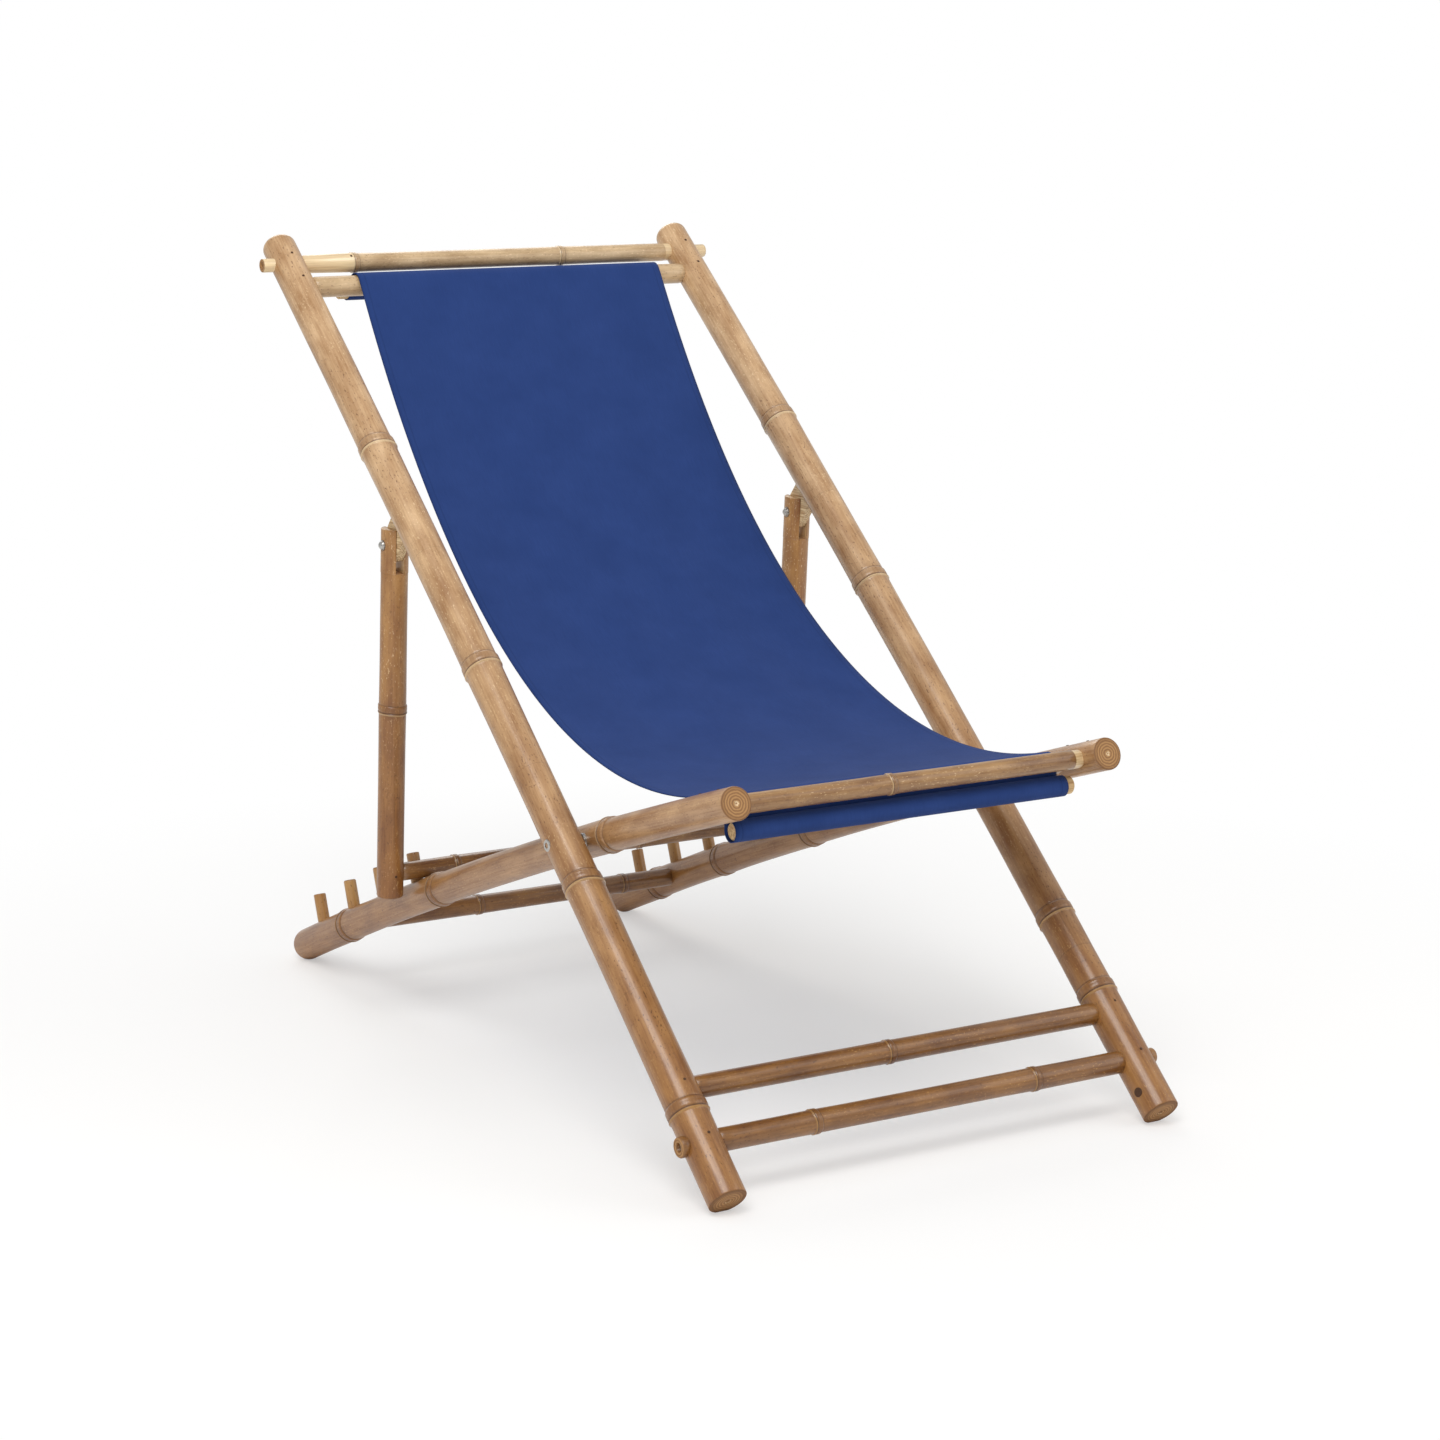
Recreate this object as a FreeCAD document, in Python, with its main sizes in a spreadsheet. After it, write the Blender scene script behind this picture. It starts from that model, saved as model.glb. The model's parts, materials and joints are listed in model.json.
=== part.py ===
"""Bamboo folding recliner with a canvas sling.

Two frames of bamboo poles cross at a pair of bolts. The back frame reaches from
the front feet to the top bar, the seat frame from the front edge of the seat to
the rear feet. A prop frame hangs from two tongues behind the back frame, and its
bar stands on the seat rails against one of four pairs of pegs. A canvas sling is
held at both ends by a dowel in a hem, which is too thick for the slot between
two bars.

Millimetres. X runs to the right as seen from the front, -Y is the front and Z is
up from the floor. The origin is on the floor under the middle of the chair's box.
Left and right in the names are as seen from the front.
"""
import FreeCAD, Part

import math
import os

import Sketcher
from FreeCAD import Placement, Rotation, Vector

SIZES = {
    "pivot_height": 303.05,
    "pivot_back": -209.4,
    "back_angle": 40.65,
    "seat_angle": 20.3,
    "back_rail_spacing": 532.0,
    "back_above": 905.0,
    "back_below": 435.0,
    "back_bow": 9.2,
    "back_rail_dome": 11.0,
    "back_rail_dome_depth": 16.5,
    "seat_rail_spacing": 450.0,
    "seat_front": 287.0,
    "seat_rear": 804.0,
    "seat_bow": 13.2,
    "seat_rail_rear_round": 10.0,
    "rim_round": 1.6,
    "rail_node_rise": 1.1,
    "rail_node_reach": 6.0,
    "rail_node_under": 0.4,
    "bar_node_rise": 0.9,
    "bar_node_reach": 4.5,
    "top_bar_at": 865.0,
    "top_bar_radius": 11.2,
    "top_sling_bar_at": 825.7,
    "top_sling_bar_radius": 12.4,
    "upper_stretcher_at": 306.7,
    "upper_stretcher_radius": 12.0,
    "lower_stretcher_at": 368.5,
    "lower_stretcher_radius": 12.2,
    "front_bar_at": 257.6,
    "front_bar_radius": 10.4,
    "front_sling_bar_at": 221.6,
    "front_sling_bar_radius": 11.2,
    "rear_bar_at": 635.0,
    "rear_bar_radius": 11.6,
    "tenon_radius": 8.0,
    "tenon_fit": 0.05,
    "tenon_stick_out": 13.0,
    "tenon_past": 4.0,
    "lower_tenon_short": 4.0,
    "bar_shoulder_round": 2.0,
    "shoulder_gap": 0.3,
    "shoulder_length": 13.0,
    "peg_radius": 7.75,
    "peg_top": 52.0,
    "peg_root": 6.0,
    "peg_chamfer": 0.6,
    "prop_pivot_at": 466.0,
    "prop_pivot_behind": 53.3,
    "prop_radius": 15.6,
    "prop_top": 18.0,
    "prop_foot": 27.0,
    "prop_bar_radius": 10.8,
    "prop_bar_gap": 0.3,
    "fork_width": 10.4,
    "fork_depth": 31.0,
    "tongue_thick": 9.6,
    "tongue_wide": 37.0,
    "tongue_end": 66.0,
    "tongue_root": 12.0,
    "tongue_corner": 7.0,
    "mortise_fit": 0.1,
    "cross_bolt_radius": 3.0,
    "cross_bolt_fit": 0.05,
    "cross_head_radius": 6.5,
    "cross_head_thick": 2.6,
    "cross_seat_depth": 2.2,
    "cross_socket": 3.4,
    "cross_socket_depth": 2.0,
    "cross_head_bevel": 0.7,
    "washer_radius": 8.0,
    "prop_bolt_radius": 2.5,
    "prop_bolt_fit": 0.05,
    "prop_head_radius": 5.0,
    "prop_head_thick": 4.2,
    "prop_nut_corner": 4.7,
    "prop_nut_thick": 4.0,
    "prop_spot_face": 1.4,
    "prop_washer_radius": 5.6,
    "prop_washer_thick": 1.2,
    "prop_bolt_past": 1.5,
    "cross_recess_fit": 0.2,
    "washer_recess": 0.8,
    "washer_slack": 0.1,
    "sleeve_radius": 4.4,
    "sleeve_length": 15.0,
    "nut_floor": 1.5,
    "thread_fit": 0.01,
    "pin_side": 2.0,
    "pin_length": 26.0,
    "pin_sunk": 0.6,
    "pin_fit": 0.02,
    "pith_radius": 2.6,
    "pith_depth": 9.0,
    "dowel_fit": 0.3,
    "dowel_radius": 9.5,
    "dowel_length": 413.0,
    "sling_width": 405.0,
    "sling_thick": 1.6,
    "sling_gap": 0.4,
    "sling_catenary": 545.0,
    "top_hem_drop": 7.4,
    "front_hem_drop": 29.0,
    "overcut": 30.0,
}

# distances of the culm nodes along each pole, as read from the photograph
POLE_NODES = {
    "back_left": (562.0, 237.0, -55.0, -333.0),
    "back_right": (565.0, 303.0, -182.0, -284.0),
    "seat_left": (-654.0, -390.0, 32.0),
    "seat_right": (-690.0, -519.0, -303.0, 40.0),
}

# radius of each internode, from the lowest to the highest
POLE_RADII = {
    "back_left": (20.6, 20.6, 20.4, 20.2, 19.9),
    "back_right": (20.6, 20.5, 20.4, 20.2, 19.9),
    "seat_left": (19.8, 19.2, 18.4, 17.6),
    "seat_right": (19.8, 19.2, 19.2, 18.4, 17.6),
}

# sideways places of the culm nodes along each crossbar
BAR_NODES = {
    "top_bar": (-183.0, 93.0),
    "top_sling_bar": (-66.0, 168.0),
    "upper_stretcher": (-17.0,),
    "lower_stretcher": (-137.0, 134.0),
    "front_bar": (-28.0,),
    "front_sling_bar": (94.0,),
    "rear_bar": (-65.0, 138.0),
    "prop_bar": (-184.0, 61.0),
}

# how far down each prop its node lies, and each peg's distance behind the bolts
PROP_NODES = {"prop_left": 190.0, "prop_right": 232.0}
PEG_PLACES = (452.0, 551.0, 640.0, 736.0)

doc = FreeCAD.newDocument("recliner")
sheet = doc.addObject("Spreadsheet::Sheet", "Sizes")


def fill_sheet():
    """Put every driving dimension in a cell with an alias."""
    cells = dict(SIZES)
    for pole, places in POLE_NODES.items():
        for count, place in enumerate(places, 1):
            cells["%s_node_%d" % (pole, count)] = place
    for pole, radii in POLE_RADII.items():
        for count, radius in enumerate(radii, 1):
            cells["%s_radius_%d" % (pole, count)] = radius
    for bar, places in BAR_NODES.items():
        for count, place in enumerate(places, 1):
            cells["%s_node_%d" % (bar, count)] = place
    for prop, place in PROP_NODES.items():
        cells[prop + "_node_1"] = place
    for count, place in enumerate(PEG_PLACES, 1):
        cells["peg_place_%d" % count] = place
    for row, (alias, number) in enumerate(cells.items(), 1):
        sheet.set("A%d" % row, alias)
        sheet.set("B%d" % row, str(number))
        sheet.setAlias("B%d" % row, alias)
    doc.recompute()


fill_sheet()


def size(name):
    """The value of one cell."""
    return float(sheet.get(name))


def cell(name):
    """The way an expression names one cell."""
    return "Sizes." + name


def derive(name, number):
    """Put a dimension that follows from the others in a cell of its own."""
    row = sheet.getUsedRange()[1][1:]
    row = str(int(row) + 1)
    sheet.set("A" + row, name)
    sheet.set("B" + row, str(number))
    sheet.setAlias("B" + row, name)
    doc.recompute()


def solve(expression):
    """The value of an expression of cells."""
    return float(sheet.evalExpression(expression))


PIVOT = Vector(0, size("pivot_back"), size("pivot_height"))
SIDEWAYS = Vector(1, 0, 0)

# the back frame's own axes: X, square to the poles towards the rear, up the poles
BACK = Placement(PIVOT, Rotation(SIDEWAYS, size("back_angle") - 90))
# the seat frame's own axes: X, square to the poles upwards, along the poles to the front
SEAT = Placement(PIVOT, Rotation(SIDEWAYS, 90 - size("seat_angle")))


class Arc:
    """The slightly bent middle line of a pole: a circular arc through the pivot.

    Stations are measured along the chord, offsets square to it. The lean is the
    side of the chord on which the pole's two ends lie.
    """

    def __init__(self, pole, ahead, behind, bow, lean):
        self.pole = pole
        self.lean = lean
        self.middle = "((%s - %s) / 2)" % (cell(ahead), cell(behind))
        self.radius = "(((%s + %s) / 2)^2 / (2 * %s))" % (cell(ahead), cell(behind), cell(bow))

    def off(self, station):
        """An expression for the offset of the middle line at a station."""
        pivot_side = "sqrt(%s^2 - %s^2)" % (self.radius, self.middle)
        there = "sqrt(%s^2 - ((%s) - %s)^2)" % (self.radius, station, self.middle)
        return "(%d * (%s - %s))" % (self.lean, pivot_side, there)

    def point(self, station, across):
        """Where the middle line is at a station."""
        return Vector(solve(across), solve(self.off(station)), solve(station))

    def facing(self, start, end):
        """A rotation that lays the X axis along the way from one point to another."""
        way = end - start
        tilt = math.degrees(math.atan2(way.z, way.y))
        return Rotation(SIDEWAYS, tilt) * Rotation(Vector(0, 0, 1), 90) * Rotation(SIDEWAYS, SEAM_ANGLE)

    def chord(self, low, high):
        """An expression for the straight distance between two stations on the line."""
        rise = "((%s) - (%s))" % (high, low)
        drift = "(%s - %s)" % (self.off(high), self.off(low))
        return "sqrt(%s^2 + %s^2)" % (rise, drift)

    def thickness(self, station):
        """The cell with the radius of the internode at a station."""
        places = [size("%s_node_%d" % (self.pole, count + 1))
                  for count in range(len(POLE_NODES[self.pole]))]
        below = len([place for place in places if place < solve(station)])
        return cell("%s_radius_%d" % (self.pole, below + 1))


# every turned length starts its surface here, away from pins, pegs and bolts, and
# each ring starts a little further round than the lengths that it joins
SEAM_ANGLE = 137
RING_TURN = 25

BACK_ARC = Arc("back_left", "back_above", "back_below", "back_bow", 1)
SEAT_ARC = Arc("seat_left", "seat_front", "seat_rear", "seat_bow", -1)


def node_ring(place, radius):
    """Stations over one culm node of a thin culm: a slow swelling and a short step back."""
    return [
        ("(%s) - Sizes.bar_node_reach" % place, radius),
        ("(%s)" % place, radius + " + Sizes.bar_node_rise"),
        ("(%s) + Sizes.bar_node_reach / 3" % place, radius),
    ]


def sleeve_ring(label, lower, upper, home):
    """The swollen ring of one node round a pole, between two internode radii.

    It rises slowly to the sheath scar, drops a step there and fades out above. Its
    ends lie just under the skin, so that it meets both internodes.
    """
    thick = "max(%s; %s)" % (lower, upper)
    rise, reach, under = "Sizes.rail_node_rise", "Sizes.rail_node_reach", "Sizes.rail_node_under"
    outline = [
        ("-" + reach, "0"),
        ("-" + reach, "%s - %s" % (lower, under)),
        ("0", "%s + %s" % (thick, rise)),
        (reach + " / 4", "%s + %s / 4" % (thick, rise)),
        (reach, "%s - %s" % (upper, under)),
        (reach, "0"),
    ]
    return turned(label, outline, home)


def cap_profile(radius, length, depth):
    """Distances inwards from a pole's end and radii: a bevel if sawn square, else a dome."""
    steps = []
    angles = (90, 0) if length == depth == "Sizes.rim_round" else (90, 60, 30, 0)
    for angle in angles:
        inwards = 1 - math.sin(math.radians(angle))
        shrink = 1 - math.cos(math.radians(angle))
        steps.append(("%s * %.4f" % (length, inwards), "%s - %s * %.4f" % (radius, depth, shrink)))
    return steps


def bent_pole(label, pole, across, arc, ends, caps):
    """A pole of straight internodes that follow the arc, with a ring over every node."""
    nodes = sorted([cell("%s_node_%d" % (pole, count + 1))
                    for count in range(len(POLE_NODES[pole]))], key=solve)
    stations = [ends[0]] + nodes + [ends[1]]
    spots = [arc.point(station, across) for station in stations]
    radii = [cell("%s_radius_%d" % (pole, count)) for count in range(1, len(stations))]
    parts = []
    for count, radius in enumerate(radii):
        length = arc.chord(stations[count], stations[count + 1])
        outline = [("0", "0"), ("0", radius), (length, radius), (length, "0")]
        if count == 0:
            outline[1:2] = cap_profile(radius, *caps[0])
        if count == len(radii) - 1:
            high_cap = cap_profile(radius, *caps[1])[::-1]
            outline[-2:-1] = [("%s - %s" % (length, inwards), thick) for inwards, thick in high_cap]
        home = Placement(spots[count], arc.facing(spots[count], spots[count + 1]))
        parts.append(turned("%s_internode_%d" % (label, count + 1), outline, home))
    for count, node in enumerate(nodes):
        turn = arc.facing(spots[count], spots[count + 2]) * Rotation(SIDEWAYS, RING_TURN)
        home = Placement(spots[count + 1], turn)
        parts.append(sleeve_ring("%s_ring_%d" % (label, count + 1), radii[count],
                                 radii[count + 1], home))
    culm = doc.addObject("Part::MultiFuse", label + "_culm")
    culm.Refine = False
    culm.Shapes = parts
    return culm


def axle(label, radius, low_x, high_x, place):
    """A cylinder along X between two expressions, at a place square to X."""
    tool = doc.addObject("Part::Cylinder", label)
    tool.Placement = Placement(Vector(0, place[0], place[1]), Rotation(Vector(0, 1, 0), 90))
    tool.setExpression("Radius", radius)
    tool.setExpression("Height", "(%s) - (%s)" % (high_x, low_x))
    tool.setExpression("Placement.Base.x", low_x)
    return tool


def nail(label, side, low, high, x, station, bow):
    """A square nail, square to a pole and to X, between two heights off its middle line."""
    half = "(%s) / 2" % side
    corner = ("%s - %s" % (x, half), "%s + %s" % (bow(station), low), "%s - %s" % (station, half))
    return block(label, corner, (side, "(%s) - (%s)" % (high, low), side))


def stake(label, radius, low, high, x, station, bow):
    """A cylinder square to a pole and to X, between two heights off its middle line."""
    tool = doc.addObject("Part::Cylinder", label)
    tool.Placement = Placement(Vector(), Rotation(Vector(1, 0, 0), -90))
    tool.setExpression("Radius", radius)
    tool.setExpression("Height", "(%s) - (%s)" % (high, low))
    tool.setExpression("Placement.Base.x", x)
    tool.setExpression("Placement.Base.y", "%s + %s" % (bow(station), low))
    tool.setExpression("Placement.Base.z", station)
    return tool


def block(label, corner, sides, placement=None):
    """A box from its lowest corner and its three sides, all expressions."""
    tool = doc.addObject("Part::Box", label)
    for side, length in zip(("Length", "Width", "Height"), sides):
        tool.setExpression(side, length)
    if placement is None:
        for axis, start in zip("xyz", corner):
            tool.setExpression("Placement.Base." + axis, start)
    else:
        start = Vector(*[solve(value) for value in corner])
        tool.Placement = placement.multiply(Placement(start, Rotation()))
    return tool


def cut(label, base, tools, placement):
    """What is left of a base after all its cutters, in its own place."""
    piece = doc.addObject("Part::Cut", label)
    piece.Refine = False
    piece.Base = base
    piece.Tool = tools[0]
    if len(tools) > 1:
        cutters = doc.addObject("Part::MultiFuse", label + "_cutters")
        cutters.Shapes = tools
        piece.Tool = cutters
    piece.Placement = placement
    return piece


def group(label, pieces, placement):
    """Pieces of one kind, kept together under one name."""
    bundle = doc.addObject("Part::Compound", label)
    bundle.Links = pieces
    bundle.Placement = placement
    return bundle


def turned(label, outline, placement):
    """A piece turned about its own X axis from an outline of (x, radius) expressions."""
    body = doc.addObject("PartDesign::Body", label)
    plane = [item for item in body.Origin.OriginFeatures if item.Role == "XY_Plane"][0]
    sketch = body.newObject("Sketcher::SketchObject", label + "_profile")
    sketch.AttachmentSupport = (plane, [""])
    sketch.MapMode = "FlatFace"
    points = [Vector(solve(x), solve(radius), 0) for x, radius in outline]
    total = len(points)
    for count in range(total):
        sketch.addGeometry(Part.LineSegment(points[count], points[(count + 1) % total]), False)
    for count in range(total):
        sketch.addConstraint(Sketcher.Constraint("Coincident", count, 2, (count + 1) % total, 1))
    for count, (x, radius) in enumerate(outline):
        number = sketch.addConstraint(
            Sketcher.Constraint("DistanceX", -1, 1, count, 1, points[count].x))
        sketch.setExpression("Constraints[%d]" % number, x)
        if radius == "0":
            sketch.addConstraint(Sketcher.Constraint("PointOnObject", count, 1, -1))
            continue
        number = sketch.addConstraint(
            Sketcher.Constraint("DistanceY", -1, 1, count, 1, points[count].y))
        sketch.setExpression("Constraints[%d]" % number, radius)
    spin = body.newObject("PartDesign::Revolution", label + "_turning")
    spin.Profile = sketch
    spin.ReferenceAxis = (sketch, ["H_Axis"])
    spin.Angle = 360
    body.Placement = placement
    return body


SIDES = {"left": -1, "right": 1}


def prop_radius(station):
    """A prop is as thick at every station."""
    return cell("prop_radius")


def straight(station):
    """A pole without a bow."""
    return "0"


def to_side(side, distance):
    """An expression for a distance from the middle towards one side."""
    return "(%d * (%s))" % (SIDES[side], distance)


def span(side, near, far):
    """The two ends of a cylinder along X, the lower first."""
    ends = [to_side(side, near), to_side(side, far)]
    return ends if side == "right" else ends[::-1]


class Joint:
    """One crossbar between a pair of poles: its place, tenon and pin."""

    def __init__(self, name, station, bow, radius, spacing, past, pin_face):
        self.name = name
        self.station = station
        self.bow = bow
        self.pole_radius = radius(station)
        self.axis = cell(spacing) + " / 2"
        self.past = past
        self.pin_face = pin_face

    def place(self):
        return (solve(self.bow(self.station)), solve(self.station))

    def tenon_end(self):
        return "%s + (%s)" % (self.axis, self.past)

    def shoulder(self):
        return "%s - %s - Sizes.shoulder_gap" % (self.axis, self.pole_radius)

    def mortise(self, side):
        low, high = span(side, self.shoulder() + " - Sizes.tenon_radius",
                         self.tenon_end() + " + Sizes.shoulder_gap")
        label = "%s_mortise_%s" % (self.name, side)
        return axle(label, "Sizes.tenon_radius + Sizes.tenon_fit", low, high, self.place())

    def pin_reach(self, radius, open_end):
        """The two heights of a pin, or of its bore with an open end."""
        head = "(%s - Sizes.pin_sunk)" % radius
        tip = "(%s - Sizes.pin_length)" % head
        mouth = "(%s + Sizes.overcut)" % radius if open_end else head
        if self.pin_face > 0:
            return tip, mouth
        return "-" + mouth, "-" + tip

    def pin(self, side, where, in_pole, open_end):
        """A pin, or its hole, in the pole's own axes or in the bar's."""
        low, high = self.pin_reach(self.pole_radius, open_end)
        width = "Sizes.pin_side"
        if open_end:
            width += " + 2 * Sizes.pin_fit"
        label = "%s_%s_%s" % (self.name, where, side)
        if in_pole:
            return nail(label, width, low, high, to_side(side, self.axis), self.station, self.bow)
        return nail(label, width, low, high, to_side(side, self.axis), "0", straight)

    def cutters(self, side):
        """Everything this crossbar takes out of the pole on one side."""
        tools = [self.mortise(side)]
        if self.pin_face:
            tools.append(self.pin(side, "pin_hole", True, True))
        return tools

    def pins(self):
        return [self.pin(side, "pin", True, False) for side in SIDES]

    def bar(self, frame, bar_radius):
        """The crossbar itself, with a tapered shoulder and a tenon at each end."""
        end = self.tenon_end()
        shoulder = self.shoulder()
        radius = cell(bar_radius)
        tenon = "Sizes.tenon_radius"
        half = [
            ("(%s)" % end, "0"),
            ("(%s)" % end, tenon),
            ("(%s)" % shoulder, tenon),
            ("(%s)" % shoulder, radius + " - Sizes.bar_shoulder_round"),
            ("(%s - Sizes.shoulder_length)" % shoulder, radius),
        ]
        outline = [("-" + x, across) for x, across in half]
        places = [cell("%s_node_%d" % (self.name, count + 1))
                  for count in range(len(BAR_NODES[self.name]))]
        for place in sorted(places, key=solve):
            outline += node_ring(place, radius)
        outline += half[::-1]
        y, z = self.place()
        home = frame.multiply(Placement(Vector(0, y, z), Rotation()))
        if not self.pin_face:
            return turned(self.name, outline, home)
        blank = turned(self.name + "_blank", outline, Placement())
        holes = [self.pin(side, "bar_hole", False, True) for side in SIDES]
        return cut(self.name, blank, holes, home)


THROUGH = "%s + Sizes.tenon_stick_out"
BLIND = "Sizes.tenon_past"
FRONT_FACE, TOP_FACE, NO_PIN = -1, 1, 0


def back_joint(name, station, past):
    """A crossbar of the back frame, pinned from the front."""
    return Joint(name, station, BACK_ARC.off, BACK_ARC.thickness, "back_rail_spacing", past, FRONT_FACE)


top_bar = back_joint("top_bar", "Sizes.top_bar_at", THROUGH % BACK_ARC.thickness("Sizes.top_bar_at"))
top_sling_bar = back_joint("top_sling_bar", "Sizes.top_sling_bar_at", BLIND)
upper_stretcher = back_joint("upper_stretcher", "-Sizes.upper_stretcher_at", BLIND)
lower_stretcher = back_joint(
    "lower_stretcher", "-Sizes.lower_stretcher_at",
    THROUGH % BACK_ARC.thickness("-Sizes.lower_stretcher_at") + " - Sizes.lower_tenon_short")
BACK_JOINTS = [top_bar, top_sling_bar, upper_stretcher, lower_stretcher]


def seat_joint(name, station, past, pin_face):
    """A crossbar of the seat frame."""
    return Joint(name, station, SEAT_ARC.off, SEAT_ARC.thickness, "seat_rail_spacing", past, pin_face)


front_bar = seat_joint("front_bar", "Sizes.front_bar_at", BLIND, TOP_FACE)
front_sling_bar = seat_joint("front_sling_bar", "Sizes.front_sling_bar_at", BLIND, TOP_FACE)
rear_bar = seat_joint("rear_bar", "-Sizes.rear_bar_at", "-Sizes.peg_radius - Sizes.rim_round", NO_PIN)
SEAT_JOINTS = [front_bar, front_sling_bar, rear_bar]


# the prop frame hangs at the tongues, and its bar stands on the seat poles
HANG = BACK.multVec(Vector(0, size("prop_pivot_behind"), size("prop_pivot_at")))
BAR_STATION = "-(Sizes.peg_place_1 - Sizes.peg_radius - Sizes.prop_bar_gap - Sizes.prop_bar_radius)"
BAR_HEIGHT = "%s + %s + Sizes.prop_bar_gap + Sizes.prop_bar_radius" % (
    SEAT_ARC.off(BAR_STATION), SEAT_ARC.thickness(BAR_STATION))
STAND = SEAT.multVec(Vector(0, solve(BAR_HEIGHT), solve(BAR_STATION)))
rise = HANG - STAND
derive("prop_reach", rise.Length)
PROP = Placement(HANG, Rotation(Vector(1, 0, 0), math.degrees(math.atan2(-rise.y, rise.z))))
prop_bar = Joint("prop_bar", "-Sizes.prop_reach", straight, prop_radius,
                 "back_rail_spacing", BLIND, FRONT_FACE)


# the ground under the chair, which levels the four feet
FLOOR_CORNER = ("-400", "-600", "-50")
FLOOR_SIDES = ("800", "1400", "50")


def pivot_axle(label, side, radius, near, far):
    """A cylinder on the axis about which the two frames swing."""
    low, high = span(side, near, far)
    return axle(label, radius, low, high, (0, 0))


def back_rail(side):
    """A long pole from the front foot to the top, bent a little, with a domed top."""
    name = "long_rail_" + side
    radius = BACK_ARC.thickness
    foot, top = "-Sizes.back_below", "Sizes.back_above"
    axis = "Sizes.back_rail_spacing / 2"
    pole = bent_pole(name, "back_" + side, to_side(side, axis), BACK_ARC, (foot, top),
                     (("Sizes.rim_round", "Sizes.rim_round"),
                      ("Sizes.back_rail_dome", "Sizes.back_rail_dome_depth")))
    tools = []
    for joint in BACK_JOINTS:
        tools += joint.cutters(side)
    thick = radius("0")
    bolt_bore = "Sizes.cross_bolt_radius + Sizes.cross_bolt_fit"
    tools.append(pivot_axle(name + "_bolt_bore", side, bolt_bore,
                            "%s - Sizes.overcut" % axis, "%s + Sizes.overcut" % axis))
    tools.append(pivot_axle(name + "_head_recess", side,
                            "Sizes.cross_head_radius + Sizes.cross_recess_fit",
                            "%s + %s - Sizes.cross_seat_depth" % (axis, thick), "%s + Sizes.overcut" % axis))
    tools.append(pivot_axle(name + "_washer_recess", side,
                            "Sizes.washer_radius + Sizes.cross_recess_fit",
                            "%s - Sizes.overcut" % axis, "%s - %s + Sizes.washer_recess" % (axis, thick)))
    fit = "Sizes.mortise_fit"
    tools.append(block(
        name + "_tongue_mortise",
        ("%s - Sizes.tongue_thick / 2 - %s" % (to_side(side, axis), fit),
         "Sizes.tongue_root - " + fit,
         "Sizes.prop_pivot_at - Sizes.tongue_wide / 2 - " + fit),
        ("Sizes.tongue_thick + 2 * " + fit, "Sizes.overcut", "Sizes.tongue_wide + 2 * " + fit)))
    pith = doc.addObject("Part::Cylinder", name + "_pith")
    pith.setExpression("Radius", "Sizes.pith_radius")
    pith.setExpression("Height", "Sizes.pith_depth + Sizes.overcut")
    pith.setExpression("Placement.Base.x", to_side(side, axis))
    pith.setExpression("Placement.Base.y", BACK_ARC.off(foot))
    pith.setExpression("Placement.Base.z", foot + " - Sizes.overcut")
    tools.append(pith)
    tools.append(block(name + "_floor", FLOOR_CORNER, FLOOR_SIDES, BACK.inverse()))
    return cut(name, pole, tools, BACK)


def seat_rail(side):
    """A thinner pole from the seat's front end to the rear foot, with a rounded rear end."""
    name = "seat_rail_" + side
    rear, front = "-Sizes.seat_rear", "Sizes.seat_front"
    axis = "Sizes.seat_rail_spacing / 2"
    pole = bent_pole(name, "seat_" + side, to_side(side, axis), SEAT_ARC, (rear, front),
                     (("Sizes.seat_rail_rear_round", "Sizes.seat_rail_rear_round"),
                      ("Sizes.rim_round", "Sizes.rim_round")))
    tools = []
    for joint in SEAT_JOINTS:
        tools += joint.cutters(side)
    thick = SEAT_ARC.thickness("0")
    inner = "%s - %s" % (axis, thick)
    bolt_bore = "Sizes.cross_bolt_radius + Sizes.cross_bolt_fit"
    tools.append(pivot_axle(name + "_bolt_bore", side, bolt_bore,
                            "%s - Sizes.overcut" % axis, "%s + Sizes.overcut" % axis))
    tools.append(pivot_axle(name + "_sleeve_bore", side,
                            "Sizes.sleeve_radius + Sizes.cross_bolt_fit", "%s - Sizes.overcut" % axis,
                            "%s + Sizes.cross_seat_depth + Sizes.sleeve_length + %s" % (
                                inner, "Sizes.cross_recess_fit")))
    tools.append(pivot_axle(name + "_nut_recess", side,
                            "Sizes.cross_head_radius + Sizes.cross_recess_fit",
                            "%s - Sizes.overcut" % axis, "%s + Sizes.cross_seat_depth" % inner))
    tools.append(pivot_axle(name + "_washer_recess", side,
                            "Sizes.washer_radius + Sizes.cross_recess_fit",
                            "%s + %s - Sizes.washer_recess" % (axis, thick), "%s + Sizes.overcut" % axis))
    for count in range(1, len(PEG_PLACES) + 1):
        tools.append(stake("%s_peg_hole_%d" % (name, count),
                           "Sizes.peg_radius + Sizes.tenon_fit",
                           "-Sizes.peg_root - Sizes.mortise_fit", "Sizes.overcut",
                           to_side(side, axis), "-Sizes.peg_place_%d" % count, SEAT_ARC.off))
    tools.append(block(name + "_floor", FLOOR_CORNER, FLOOR_SIDES, SEAT.inverse()))
    return cut(name, pole, tools, SEAT)


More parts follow.
